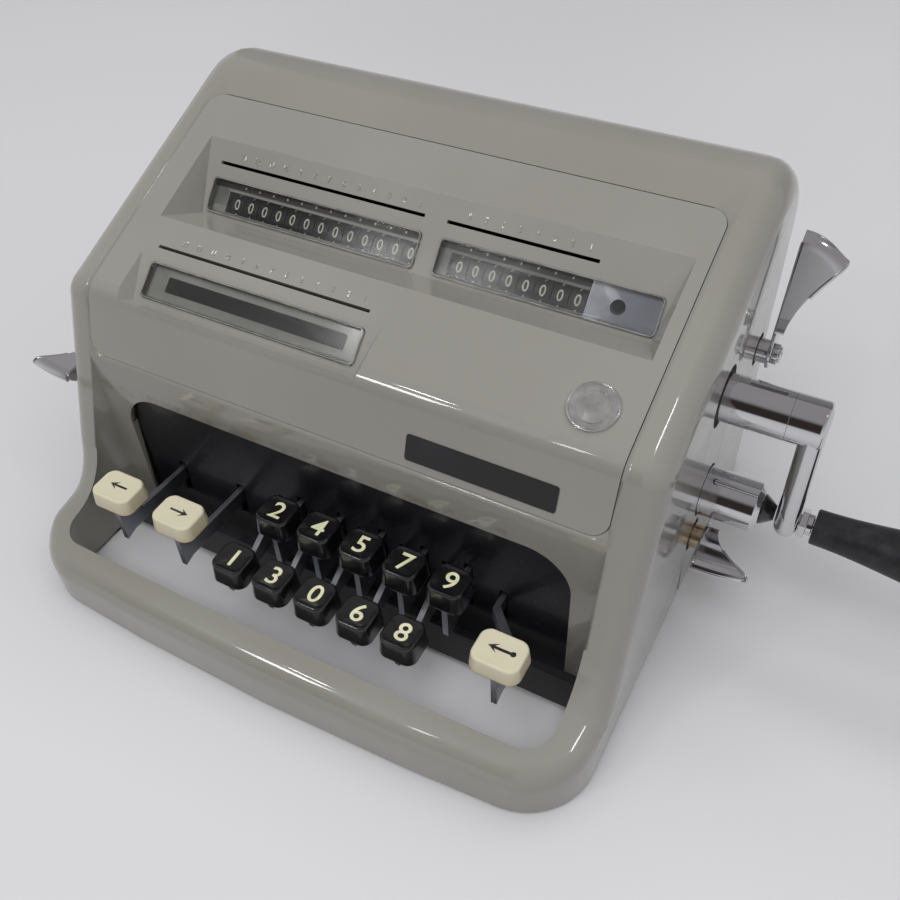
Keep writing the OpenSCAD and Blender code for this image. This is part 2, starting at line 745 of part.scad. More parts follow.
module badge() {
  color(chrome) placed() on_slope() translate([badge_x, -badge_s, 0]) difference() {
    cylinder(d = badge_d, h = badge_t);
    translate([0, 0, badge_t - 0.4]) cylinder(d = badge_d - 2, h = 1);
  }
}

module lens(x0, x1, u) {
  window_hole(x0, x1, u, 0, -panel_t, 0);
  difference() {
    window_hole(x0, x1, u, 0, -tiny, lens_proud);
    window_hole(x0, x1, u, -1.3, lens_proud - 0.5, lens_proud + 1);
  }
}

module result_window() {
  color([0.8, 0.85, 0.85, 0.4]) placed() on_upper_floor() lens(result_x0, result_x1, window_u);
}

module counter_window() {
  color([0.8, 0.85, 0.85, 0.4]) placed() on_upper_floor() lens(counter_x0, counter_x1, window_u);
}

module setting_window() {
  color([0.8, 0.85, 0.85, 0.4]) placed() on_lower_floor() lens(setting_x0, setting_x1, setting_u);
}

// sheet behind the upper windows with an opening for each bank of wheels
module register_mask() {
  x0 = result_wheel_x - wheel_pitch / 2 - 0.4;
  x1 = result_wheel_x + 12.5 * wheel_pitch + 0.4;
  x2 = counter_wheel_x - wheel_pitch / 2 - 0.4;
  x3 = counter_wheel_x + 7.5 * wheel_pitch + 0.4;
  color(steel) placed() on_upper_floor() translate([0, 0, -panel_t - mask_t]) difference() {
    translate([result_x0 - 2, -window_u - window_h / 2 - 0.6, 0])
      cube([x3 - result_x0 + 2, window_h + 4, mask_t]);
    translate([x0, -wheel_u - 4.2, -1]) cube([x1 - x0, 8.4, mask_t + 2]);
    translate([x2, -wheel_u - 4.2, -1]) cube([x3 - x2 + 1, 8.4, mask_t + 2]);
  }
}

// bright plate beside the counter, with the hole for the sign of the counter
module counter_plate() {
  x3 = counter_wheel_x + 7.5 * wheel_pitch + 0.4;
  color(chrome) placed() on_upper_floor() translate([0, 0, -panel_t - mask_t]) difference() {
    translate([x3, -window_u - window_h / 2 - 0.6, 0])
      cube([counter_x1 + 1 - x3, window_h + 4, mask_t]);
    translate([counter_x1 - 16, -window_u, -1]) cylinder(d = 5.3, h = mask_t + 2);
  }
}

module setting_mask() {
  color(steel) placed() on_lower_floor() translate([0, 0, -panel_t - mask_t]) difference() {
    translate([setting_x0 - 2, -setting_u - window_h / 2 + 1, 0])
      cube([setting_x1 - setting_x0 + 4, window_h + 1, mask_t]);
    translate([setting_x0 + 9.4, -8.6, -1]) cube([setting_x1 - setting_x0 - 17, 5.2, mask_t + 2]);
  }
}

module wheels(x0, n) {
  for (i = [0:n - 1]) {
    x = x0 + i * wheel_pitch;
    difference() {
      rod(x - (wheel_pitch - wheel_gap) / 2, x + (wheel_pitch - wheel_gap) / 2, wheel_yz, wheel_d);
      rod(x - wheel_pitch, x + wheel_pitch, wheel_yz, wheel_shaft_d + 2 * run);
    }
  }
}

module result_wheels() {
  color(black) placed() wheels(result_wheel_x, 13);
}

module counter_wheels() {
  color(black) placed() wheels(counter_wheel_x, 7);
}

module counter_units_wheel() {
  color(black) placed() wheels(counter_wheel_x + 7 * wheel_pitch, 1);
}

module wheel_shaft() {
  color(steel) placed() rod(-frame_out, frame_out, wheel_yz, wheel_shaft_d);
}

// Keyboard
function back_x(k) = back_key_x + k * key_pitch;
function front_x(k) = front_key_x + k * key_pitch;

module lever_slots() {
  w = lever_t + 2 * lever_play;
  for (k = [0:4]) {
    translate([back_x(k) - w / 2, slot_low]) square([w, back_row_z + slot_over - slot_low]);
    translate([front_x(k) - w / 2, slot_low + 2]) square([w, front_top_z + slot_over - slot_low - 2]);
  }
  for (x = [left_key_x, right_key_x, return_lever_x]) translate([x - w / 2, slot_low])
    square([w, cream_top_z + slot_over - slot_low]);
}

module keyboard_plate() {
  color(black) placed() difference() {
    translate([0, plate_back_y, 0]) rotate([90, 0, 0]) linear_extrude(height = plate_t) difference() {
      translate([-well_half - 5, rim_z + base_t]) square([2 * well_half + 10, well_top_z + 8 - rim_z - base_t]);
      lever_slots();
    }
  }
}

module key_bar() {
  color(black) placed() along_x(-loop_half, loop_half)
    polygon([[bar_y + 2, bar_z + bar_h], [bar_y + 2 + bar_t, bar_z + bar_h + 0.8],
      [bar_y + 2.4 + bar_t, bar_z + bar_h - 0.2], [bar_y + bar_t, bar_z - 0.4], [bar_y, bar_z]]);
}

module key_shaft() {
  color(steel) placed() rod(-frame_out, frame_out, [key_shaft_y, key_shaft_z], key_shaft_d);
}

module lever_plate(x) {
  difference() {
    along_x(x - lever_t / 2, x + lever_t / 2) union() {
      children();
      translate([key_shaft_y, key_shaft_z]) circle(d = key_shaft_d + 6);
    }
    rod(x - lever_t, x + lever_t, [key_shaft_y, key_shaft_z], key_shaft_d + 2 * run);
  }
}

module back_lever(k) {
  y0 = back_row_y - 5.3;
  color(steel) placed() lever_plate(back_x(k)) {
    polygon([[y0, back_row_z - 18], [y0 + 3, back_row_z - 18.6], [well_back_y, lever_low_z - 1],
      [key_shaft_y - 2, key_shaft_z - 6],
      [key_shaft_y - 2, key_shaft_z + 6], [well_y + 8, back_row_z], [y0, back_row_z]]);
    translate([back_row_y - 4, back_row_z - 1]) square([8, tang_h + 1]);
  }
}

module front_lever(k) {
  y0 = front_row_y - 5.5;
  color(steel) placed() lever_plate(front_x(k)) {
    polygon([[y0, front_row_z - 5], [y0 + 18, front_row_z - 5.5], [well_back_y, lever_low_z + 0.5],
      [key_shaft_y - 2, key_shaft_z - 6], [key_shaft_y - 2, key_shaft_z + 6], [well_back_y, front_top_z],
      [well_back_y - 15.9, front_top_z - 4], [front_row_y + 10.3, front_row_z + 1.3],
      [front_row_y + 8, front_row_z], [y0, front_row_z]]);
    translate([front_row_y - 4, front_row_z - 1]) square([8, tang_h + 1]);
  }
}

module cream_profile() {
  y0 = cream_y - 5;
  y1 = cream_y + 5.2;
  polygon([[y0, lever_low_z], [y0 + 5, lever_low_z + 1.5], [well_back_y, lever_low_z],
    [key_shaft_y - 2, key_shaft_z - 6], [key_shaft_y - 2, key_shaft_z + 6],
    [well_back_y + 17, cream_top_z + 5.5], [well_back_y - 0.3, cream_top_z],
    [y1 + 1.8, cream_top_z + 1.8], [y1, cream_top_z + 3.6], [y1, cream_z], [y0, cream_z]]);
  translate([cream_y - 4, cream_z - 1]) square([8, tang_h + 1]);
}

module cream_lever(x) {
  color(steel) placed() lever_plate(x) cream_profile();
}

// a key: rounded foot, tapered sides, dished top, a slot for the tang of its lever
module cap(x, y, z, w, d, h, tw, td, r) {
  dish_r = (tw * tw / 4 + dish * dish) / (2 * dish);
  foot = cap_outline(w, d, r);
  top = cap_outline(tw, td, r - 0.4);
  n = len(foot);
  placed() translate([x, y, z]) difference() {
    polyhedron(
      points = concat([for (p = foot) [p[0], p[1], 0]], [for (p = top) [p[0], p[1], h]]),
      faces = concat([[for (i = [0:n - 1]) i]], [[for (i = [n - 1:-1:0]) n + i]],
        [for (i = [0:n - 1]) [i, n + i, (i + 1) % n]],
        [for (i = [0:n - 1]) [(i + 1) % n, n + i, n + (i + 1) % n]]));
    translate([0, 0, h - dish + dish_r]) sphere(r = dish_r);
    translate([-lever_t / 2, -4, -1]) cube([lever_t, 8, tang_h + 1]);
  }
}

function cap_outline(w, d, r) = [for (q = [[1, 1, 0], [-1, 1, 90], [-1, -1, 180], [1, -1, 270]])
  for (a = [0:22.5:90]) [q[0] * (w / 2 - r) + r * cos(q[2] + a), q[1] * (d / 2 - r) + r * sin(q[2] + a)]];

module back_cap(k) {
  color(black) cap(back_x(k), back_row_y, back_row_z, cap_w, cap_d, cap_h, cap_top, cap_top, 3.4);
}

module front_cap(k) {
  color(black) cap(front_x(k), front_row_y, front_row_z, cap_w, cap_d, cap_h, cap_top, cap_top, 3.4);
}

module cream_cap(x) {
  color(cream) cap(x, cream_y, cream_z, cream_w, cream_d, cream_h, cream_w - 2.4, cream_d - 2.4, 4);
}

module cap_2() { back_cap(0); }
module cap_4() { back_cap(1); }
module cap_5() { back_cap(2); }
module cap_7() { back_cap(3); }
module cap_9() { back_cap(4); }
module cap_1() { front_cap(0); }
module cap_3() { front_cap(1); }
module cap_0() { front_cap(2); }
module cap_6() { front_cap(3); }
module cap_8() { front_cap(4); }
module cap_left() { cream_cap(left_key_x); }
module cap_right() { cream_cap(right_key_x); }
module cap_return() { cream_cap(return_key_x); }
module lever_2() { back_lever(0); }
module lever_4() { back_lever(1); }
module lever_5() { back_lever(2); }
module lever_7() { back_lever(3); }
module lever_9() { back_lever(4); }
module lever_1() { front_lever(0); }
module lever_3() { front_lever(1); }
module lever_0() { front_lever(2); }
module lever_6() { front_lever(3); }
module lever_8() { front_lever(4); }
module lever_left() { cream_lever(left_key_x); }
module lever_right() { cream_lever(right_key_x); }

// cranked to the right in front of the plate
module lever_return() {
  y1 = well_y - 3;
  y0 = 2;
  x0 = return_lever_x;
  x1 = return_key_x;
  t = lever_t / 2;
  color(steel) placed() union() {
    intersection() {
      lever_plate(x0) cream_profile();
      translate([x0 - 5, y1, 0]) cube([10, 100, 90]);
    }
    intersection() {
      along_x(x1 - t, x1 + t) cream_profile();
      translate([x1 - 5, -40, 0]) cube([10, 40 + y0, 90]);
    }
    intersection() {
      along_x(x0 - 5, x1 + 5) cream_profile();
      translate([0, 0, 20]) linear_extrude(height = 40)
        polygon([[x0 - t, y1], [x0 - t, y1 - 0.8], [x1 - t, y0 - 0.8], [x1 + t, y0 - 0.8], [x1 + t, y0 + 1.6],
          [x0 + t, y1 + 1.4], [x0 + t, y1 + 2], [x0 - t, y1 + 2]]);
    }
  }
}

// Crank
module gear(x0, x1, p, turn) {
  root = pitch_r - 1.25 * gear_module;
  out = pitch_r + 0.9 * gear_module;
  a = 90 / teeth;
  along_x(x0, x1) translate(p) rotate(turn) union() {
    circle(r = root);
    for (i = [0:teeth - 1]) rotate(i * 360 / teeth)
      polygon([[root - 1, -root * sin(1.25 * a)], [root, -root * sin(1.25 * a)],
        [pitch_r, -pitch_r * sin(0.86 * a)], [out, -out * sin(0.4 * a)], [out, out * sin(0.4 * a)],
        [pitch_r, pitch_r * sin(0.86 * a)], [root, root * sin(1.25 * a)], [root - 1, root * sin(1.25 * a)]]);
  }
}

module crank_tube() {
  p = [crank_y, crank_z];
  color(chrome) placed() difference() {
    union() {
      rod(frame_out + 3, tube_end_x, p, tube_d);
      rod(gear_x1 - tiny, frame_out + 4, p, journal_d);
      gear(gear_x0, gear_x1, p, 0);
    }
    translate([tube_end_x - 16, crank_y - 0.9, crank_z + tube_d / 2 - 1.6]) cube([13, 1.8, 3]);
  }
}

module crank_arm() {
  x0 = tube_end_x;
  w = arm_t / 2;
  xa = tube_end_x + boss_l - arm_t - 0.6;
  color(chrome) placed() difference() {
    union() {
      rod(x0, x0 + boss_l - 1.2, [crank_y, crank_z], tube_d);
      cone(x0 + boss_l - 1.2, x0 + boss_l, [crank_y, crank_z], tube_d, tube_d - 2.4);
      along_x(xa, xa + arm_t) polygon([[crank_y - tube_d / 2 + 1, crank_z], [crank_y - eye_d / 2, grip_z],
        [crank_y + eye_d / 2, grip_z], [crank_y + tube_d / 2 - 1, crank_z]]);
      rod(eye_x, eye_end, [crank_y, grip_z], eye_d);
    }
    rod(eye_x - 1, eye_end + 1, [crank_y, grip_z], spindle_d);
  }
}

module grip_spindle() {
  p = [crank_y, grip_z];
  color(chrome) placed() union() {
    rod(eye_x + 1, grip_x + grip_l - 8, p, spindle_d);
    translate([eye_end, p[0], p[1]]) rotate([0, 90, 0]) cylinder(d = nut_w / cos(30), h = 2.6, $fn = 6);
    rod(eye_end, grip_x - 0.4, p, nut_w - 1.6);
  }
}

module crank_grip() {
  r0 = grip_d0 / 2;
  r1 = grip_d1 / 2;
  color(black) placed() translate([grip_x, crank_y, grip_z]) rotate([0, 90, 0]) rotate_extrude(angle = 360)
    difference() {
      intersection() {
        union() {
          polygon(concat([[0, 0], [r0 - 0.8, 0], [r0, 0.8]],
            [for (i = [1:10]) let (t = i / 10) [r0 + (r1 - r0) * (1 - cos(180 * t)) / 2, 0.8 + t * (grip_l * 0.72)]],
            [[0, grip_l * 0.72 + 0.8]]));
          translate([0, grip_l * 0.72 + 0.8]) intersection() {
            scale_arc(r1, grip_l * 0.28 - 0.8);
            square([r1, grip_l]);
          }
        }
        square([r1 + 1, grip_l]);
      }
      square([spindle_d / 2 + run, grip_l - 6]);
    }
}

// quarter of a rounded end, as wide as r and h high, from arcs of one radius
module scale_arc(r, h) {
  polygon(concat([[0, 0]], [for (a = [0:10:90]) [r * cos(a), h * sin(a)]]));
}

module rest_tube() {
  p = [crank_y, grip_z];
  color(chrome) placed() difference() {
    union() {
      rod(frame_out, rest_end_x - 2, p, rest_d);
      cone(rest_end_x - 2, rest_end_x, p, rest_d, rest_d - 4);
    }
    rod(rest_end_x - 24, rest_end_x + 1, p, tip_d + 2 * run);
  }
}

module rest_tip() {
  p = [crank_y, grip_z];
  x1 = eye_x - tip_gap;
  color(black) placed() union() {
    rod(rest_end_x - 16, rest_end_x + 0.6, p, tip_d);
    cone(rest_end_x + 0.6, x1, p, tip_d, tip_d * 0.5);
  }
}

// Clearing levers: hub, plate and a wing that reaches outwards
module hub(side, p) {
  placed() union() {
    rod2(side, frame_in - 2, half - wall - 3, p, pin_d);
    rod2(side, frame_out + 1, plate_x, p, hub_d);
    rod2(side, plate_x - tiny, plate_x + sheet + 0.4, p, pin_d);
    rod2(side, plate_x + sheet, plate_x + sheet + 2.4, p, hub_d - 1.5);
  }
}

module rod2(side, x0, x1, p, d) {
  if (side > 0) rod(x0, x1, p, d);
  if (side < 0) rod(-x1, -x0, p, d);
}

module upper_hub() {
  color(chrome) hub(1, [upper_lever_y, upper_lever_z]);
}

module lower_hub() {
  color(chrome) hub(1, [lower_lever_y, lower_lever_z]);
}

module left_hub() {
  color(chrome) hub(-1, [left_lever_y, left_lever_z]);
}

// drawn with the hub at the origin, the plate upright and the wing on its front edge
module upper_lever() {
  w = hub_d / 2 + 1.5;
  l = upper_lever_l;
  color(chrome) placed() translate([0, upper_lever_y, upper_lever_z]) rotate([-upper_lever_lean, 0, 0]) {
    difference() {
      along_x(plate_x, plate_x + sheet) union() {
        circle(r = w);
        polygon([[-w, 0], [-w - 0.5, l], [w - 2, l], [w, 0]]);
      }
      rod(plate_x - 1, plate_x + sheet + 1, [0, 0], pin_d);
    }
    translate([0, -w - 0.5 + sheet, 0]) rotate([90, 0, 0]) linear_extrude(height = sheet) difference() {
      translate([plate_x, l - 36]) square([upper_wing, 40]);
      translate([plate_x + upper_wing + 14, l - 36 - 3]) circle(r = 27);
      translate([plate_x - 1, l]) square([2.2, 5]);
    }
  }
}

module lower_lever() {
  wing_lever(1, lower_lever_y, lower_lever_z);
}

module left_lever() {
  wing_lever(-1, left_lever_y, left_lever_z);
}

module wing_lever(side, y, z) {
  w = hub_d / 2 + 2;
  l = lower_lever_l;
  color(chrome) placed() translate([0, y, z]) mirror([side < 0 ? 1 : 0, 0, 0]) {
    difference() {
      along_x(plate_x, plate_x + sheet) union() {
        circle(r = w);
        polygon([[0, -w], [-l + 2, w - 6], [-l, w - 4], [-l, w], [0, w]]);
      }
      rod(plate_x - 1, plate_x + sheet + 1, [0, 0], pin_d);
    }
    translate([0, 0, w - sheet]) linear_extrude(height = sheet) difference() {
      translate([plate_x, -l]) square([lower_wing, l + 1]);
      translate([plate_x + lower_wing + 4, 9]) circle(r = 25);
    }
  }
}

// Inside
function under_slope(y, d) = fold_z + (y - fold_y) * tan(slope_angle) - d;

module frame() {
  z0 = rim_z + base_t;
  y0 = frame_front_y;
  y1 = frame_back_y;
  y2 = top_c[0] - 13.7;
  y3 = crank_y + 0.5;
  rods = [[y1 - 8, z0 + 16], [y1 - 10, top_c[1] - 11.7], [y0 + 12, z0 + 18]];
  color(steel) placed() union() {
    for (i = [-1, 1]) difference() {
      along_x(i * frame_x - frame_t / 2, i * frame_x + frame_t / 2)
        polygon([[y0, z0], [y1, z0], [y1, top_c[1] - 1.7], [y2, top_c[1] + 8.3], [y3, under_slope(y3, 13.7)],
          [y0 + 12, under_slope(y0 + 12, 20.6)], [y0, fold_z - 34]]);
      rod(-half, half, [upper_lever_y, upper_lever_z], pin_d + 2 * run);
      rod(-half, half, [lower_lever_y, lower_lever_z], pin_d + 2 * run);
      rod(-half, half, [left_lever_y, left_lever_z], pin_d + 2 * run);
      rod(-half, half, [key_shaft_y, key_shaft_z], key_shaft_d);
      rod(-half, half, wheel_yz, wheel_shaft_d);
      rod(-half, half, rotor_yz, rotor_shaft_d + 2 * run);
      if (i > 0) rod(0, half, [crank_y, crank_z], journal_d + 2 * run);
    }
    for (p = rods) rod(-frame_x, frame_x, p, tie_d);
  }
}

module rotor() {
  x0 = rotor_gap - frame_in;
  pitch = (gear_x0 - disc_gap - disc_t - x0) / (rotor_discs - 1);
  color(steel) placed() union() {
    rod(-frame_out - 2, frame_out + 2, rotor_yz, rotor_shaft_d);
    rod(x0, gear_x0 - disc_gap, rotor_yz, rotor_d - 16);
    for (i = [0:rotor_discs - 1]) rod(x0 + i * pitch, x0 + i * pitch + disc_t, rotor_yz, rotor_d);
    gear(gear_x0, gear_x1, rotor_yz, rotor_turn);
  }
}

housing();
base_plate();
feet();
base_screws();
register_panel();
badge();
result_window();
counter_window();
setting_window();
register_mask();
counter_plate();
setting_mask();
keyboard_plate();
key_bar();
side_plate();
frame();
key_shaft();
wheel_shaft();
result_wheels();
counter_wheels();
counter_units_wheel();
rotor();
rest_tube();
rest_tip();
crank_tube();
crank_arm();
grip_spindle();
crank_grip();
upper_hub();
upper_lever();
lower_hub();
lower_lever();
left_hub();
left_lever();
cap_1();
cap_3();
cap_0();
cap_6();
cap_8();
cap_2();
cap_4();
cap_5();
cap_7();
cap_9();
cap_left();
cap_right();
cap_return();
lever_1();
lever_3();
lever_0();
lever_6();
lever_8();
lever_2();
lever_4();
lever_5();
lever_7();
lever_9();
lever_left();
lever_right();
lever_return();
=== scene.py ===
# A hand-cranked desk calculating machine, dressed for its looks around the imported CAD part.
# Positions are in metres in the part's own frame: X to the crank, Y to the back, Z up.

import json
import math

import bmesh
import bpy
import numpy as np
from mathutils import Matrix, Vector
from mathutils.bvhtree import BVHTree

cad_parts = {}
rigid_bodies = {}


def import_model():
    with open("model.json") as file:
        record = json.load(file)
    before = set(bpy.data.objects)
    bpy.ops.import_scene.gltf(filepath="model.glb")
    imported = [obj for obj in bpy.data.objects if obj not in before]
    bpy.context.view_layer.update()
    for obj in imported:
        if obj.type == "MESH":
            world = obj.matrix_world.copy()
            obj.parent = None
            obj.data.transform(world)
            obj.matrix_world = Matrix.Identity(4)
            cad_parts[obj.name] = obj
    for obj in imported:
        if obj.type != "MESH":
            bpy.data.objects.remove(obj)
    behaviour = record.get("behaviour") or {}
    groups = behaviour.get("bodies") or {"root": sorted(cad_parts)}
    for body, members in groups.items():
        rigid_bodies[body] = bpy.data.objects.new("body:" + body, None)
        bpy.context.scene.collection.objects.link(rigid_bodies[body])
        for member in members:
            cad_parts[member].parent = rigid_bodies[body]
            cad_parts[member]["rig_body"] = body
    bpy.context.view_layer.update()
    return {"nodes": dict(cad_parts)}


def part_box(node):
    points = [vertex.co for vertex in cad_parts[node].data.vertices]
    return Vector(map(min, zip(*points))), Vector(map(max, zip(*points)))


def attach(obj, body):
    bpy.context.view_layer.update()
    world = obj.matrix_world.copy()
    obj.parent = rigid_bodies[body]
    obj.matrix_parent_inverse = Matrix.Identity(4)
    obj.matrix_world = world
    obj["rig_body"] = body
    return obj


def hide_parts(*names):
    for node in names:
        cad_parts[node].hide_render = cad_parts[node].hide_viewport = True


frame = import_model()
nodes = frame["nodes"]
scene = bpy.context.scene

# Camera. It is held over the right front corner of the machine, looking down at about
# 45 degrees. Its place and turn were solved from the edges of the body.

CAMERA_AT = Vector((0.1247, -0.24605, 0.3406))
CAMERA_YAW, CAMERA_PITCH, CAMERA_ROLL = (math.radians(a) for a in (30.13, 45.08, -2.73))
FOCAL_PIXELS, PICTURE_PIXELS = 991.4, 900
SENSOR, NEAREST = 36.0, 0.01

level = Vector((math.cos(CAMERA_YAW), math.sin(CAMERA_YAW), 0))
ahead = Vector((-math.sin(CAMERA_YAW) * math.cos(CAMERA_PITCH),
                math.cos(CAMERA_YAW) * math.cos(CAMERA_PITCH), -math.sin(CAMERA_PITCH)))
above = level.cross(ahead)
right = math.cos(CAMERA_ROLL) * level + math.sin(CAMERA_ROLL) * above
up = -math.sin(CAMERA_ROLL) * level + math.cos(CAMERA_ROLL) * above
camera = bpy.data.objects.new("camera", bpy.data.cameras.new("camera"))
scene.collection.objects.link(camera)
camera.matrix_world = Matrix.Translation(CAMERA_AT) @ Matrix((right, up, -ahead)).transposed().to_4x4()
camera.data.sensor_width = SENSOR
camera.data.lens = FOCAL_PIXELS / PICTURE_PIXELS * SENSOR
camera.data.clip_start = NEAREST
scene.camera = camera
scene.view_settings.view_transform = "Standard"

# Table and light. A pale matt table top that curves up far behind, under a bright ceiling and
# soft lamps. Finish, which makes the nodes of every material, and Wire, which writes shader
# maths on their sockets, are first needed here.


class Wire:
    """A shader socket. Arithmetic on it adds the Math nodes."""

    def __init__(self, finish, socket):
        self.finish, self.socket = finish, socket

    def math(self, operation, *others):
        return self.finish.add("Math", dict(operation=operation), dict(enumerate((self, *others))))

    def __add__(self, other):
        return self.math("ADD", other)

    def __sub__(self, other):
        return self.math("SUBTRACT", other)

    def __mul__(self, other):
        return self.math("MULTIPLY", other)

    def __lt__(self, other):
        return self.math("LESS_THAN", other)

    def __gt__(self, other):
        return self.math("GREATER_THAN", other)

    def __rsub__(self, other):
        return self.math("MULTIPLY", -1).math("ADD", other)

    def __abs__(self):
        return self.math("ABSOLUTE")

    __radd__, __rmul__ = __add__, __mul__

    def ramp(self, low, high):
        """0 at or under low, 1 at or over high, smooth between."""
        return self.finish.add("MapRange", dict(interpolation_type="SMOOTHSTEP"),
                               {"Value": self, "From Min": low, "From Max": high})


class Finish:
    """A material: the Principled shader with its fixed values, and the nodes that feed it."""

    family = "ShaderNode"

    def __init__(self, name, **fixed):
        self.material = bpy.data.materials.new(name)
        self.material.use_nodes = True
        self.tree = self.material.node_tree
        self.shader = self.tree.nodes["Principled BSDF"]
        for socket, value in fixed.items():
            self.shader.inputs[socket.replace("_", " ")].default_value = value
        self.spot = None

    def add(self, kind, settings=None, inputs=None, output=0):
        node = self.tree.nodes.new(self.family + kind)
        for key, value in (settings or {}).items():
            setattr(node, key, value)
        for key, value in (inputs or {}).items():
            if isinstance(value, Wire):
                self.tree.links.new(value.socket, node.inputs[key])
            else:
                node.inputs[key].default_value = value
        return Wire(self, node.outputs[output])

    def place(self, stretch=None):
        """Object coordinates in metres, stretched where a grain runs one way."""
        if self.spot is None:
            self.spot = self.add("TexCoord", output="Object")
        if stretch is None:
            return self.spot
        return self.add("Mapping", None, {"Vector": self.spot, "Scale": stretch})

    def axis(self, letter):
        return self.add("SeparateXYZ", None, {"Vector": self.place()}, output=letter)

    def noise(self, scale, detail=2.0, rough=0.5, stretch=None):
        return self.add("TexNoise", None, {"Vector": self.place(stretch), "Scale": scale,
                                           "Detail": detail, "Roughness": rough})

    def blend(self, factor, first, second):
        def shade(c):
            return c if isinstance(c, Wire) else (*c, 1.0)
        colours = {0: factor, 6: shade(first), 7: shade(second)}
        return self.add("Mix", dict(data_type="RGBA"), colours, output=2)

    def feed(self, **sources):
        for name, wire in sources.items():
            self.tree.links.new(wire.socket, self.shader.inputs[name.replace("_", " ")])

    def bumps(self, height, distance):
        self.feed(Normal=self.add("Bump", None, {"Height": height, "Distance": distance}))


TABLE_PALE = (0.560, 0.556, 0.572)
TABLE_DULL = (0.520, 0.520, 0.535)
table_top = Finish("table_top", Roughness=0.55)
tone = table_top.noise(1.6, 1.0).ramp(0.35, 0.65)
table_top.feed(Base_Color=table_top.blend(tone, TABLE_DULL, TABLE_PALE))

mesh = bpy.data.meshes.new("table")
REACH, EDGE, CURVE, WALL = 3.0, 2.2, 0.8, 4.0
shape = bmesh.new()
run = [(-REACH, 0.0), (EDGE, 0.0)] + [
    (EDGE + CURVE * math.sin(a), CURVE * (1 - math.cos(a))) for a in np.radians(range(10, 91, 10))]
run.append((EDGE + CURVE, WALL))
rows = [[shape.verts.new((x, y, z)) for x in (-REACH, REACH)] for y, z in run]
for near, far in zip(rows, rows[1:]):
    shape.faces.new((near[0], near[1], far[1], far[0])).smooth = True
shape.to_mesh(mesh)
shape.free()
mesh.materials.append(table_top.material)
table = bpy.data.objects.new("table", mesh)
scene.collection.objects.link(table)


class Room(Finish):
    """The world round the table, made of the same nodes."""

    def __init__(self, name):
        self.world = bpy.data.worlds.new(name)
        self.world.use_nodes = True
        self.tree = self.world.node_tree
        self.shader = self.tree.nodes["Background"]


ZENITH, SIDES, DARK = (0.30, 0.285, 0.295), (0.55, 0.55, 0.57), (0.034, 0.027, 0.024)
OVERHEAD, BELOW, BACKDROP = (1.4, 1.4, 1.4), (0, 0, 0), (0.56, 0.56, 0.58)
TO_SIDE, TO_FRONT = (0.99, -0.10, 0.0), (-0.10, -0.99, 0.0)
room = Room("room")
scene.world = room.world
around = room.add("TexCoord", output="Generated")
lift = room.add("SeparateXYZ", None, {"Vector": around}, output="Z")
aside, before = (room.add("VectorMath", dict(operation="DOT_PRODUCT"), {0: around, 1: way}, output="Value")
                 for way in (TO_SIDE, TO_FRONT))
# matt parts are lit from overhead
plain = room.blend(lift.ramp(0.40, 1.0) * 0.97 + 0.015, BELOW, OVERHEAD)
# polished parts see a grey ceiling, pale walls, and a dark patch upright in front
dark = (1 - abs(aside + 0.16).ramp(0.34, 0.52)) * before.ramp(0.0, 0.3)
dark = dark * lift.ramp(-0.03, 0.05) * (1 - lift.ramp(0.55, 0.80))
mirrored = room.blend(dark, room.blend(lift.ramp(0.05, 0.8), SIDES, ZENITH), DARK)
lit = room.blend(room.add("LightPath", output="Is Glossy Ray"), plain, mirrored)
room.feed(Color=room.blend(room.add("LightPath", output="Is Camera Ray"), lit, BACKDROP))

# name, place, size, watts, whether it shows in the gloss. Small bright windows high up in front,
# to the left, make the white lines on the folds and the glow in the lenses, and a small lamp
# the line on the right corner. The rest is soft light from the ceiling, which doesn't show.
AIM = Vector((0, 0, 0.08))
for name, place, size, power, shows in (
        ("window", (-0.884, -1.40, 1.40), (0.27, 0.25), 3.6, True),
        ("window_low", (-0.45, -1.45, 1.50), (0.08, 0.20), 0.5, True),
        ("window_high", (-1.11, -1.45, 2.29), (0.20, 0.09), 2.0, True),
        ("ceiling_back", (0.10, 1.30, 1.70), (1.60, 0.50), 7.5, False),
        ("ceiling_front", (0.10, -0.85, 1.75), (1.00, 1.00), 13.0, False),
        ("ceiling_spot", (0.90, 0.10, 1.70), (0.12, 0.12), 0.8, True),
        ("fill", (1.50, -0.40, 1.30), (0.80, 0.80), 3.2, False)):
    lamp = bpy.data.lights.new(name, "AREA")
    lamp.shape = "RECTANGLE"
    lamp.size, lamp.size_y = size
    lamp.energy = power
    holder = bpy.data.objects.new(name, lamp)
    scene.collection.objects.link(holder)
    holder.location = place
    holder.rotation_euler = (AIM - Vector(place)).to_track_quat("-Z", "Y").to_euler()
    holder.visible_glossy = shows

# Body. One casting: cover, side arms and the carrying rail flow into each other. It is sprayed
# with green-grey gloss enamel, a little dusty, and rubbed brown along the edge over the keys.

ENAMEL = (0.222, 0.216, 0.188)
ENAMEL_LIGHT = (0.246, 0.240, 0.214)
RUBBED = (0.125, 0.092, 0.060)
DUST = (0.66, 0.66, 0.64)


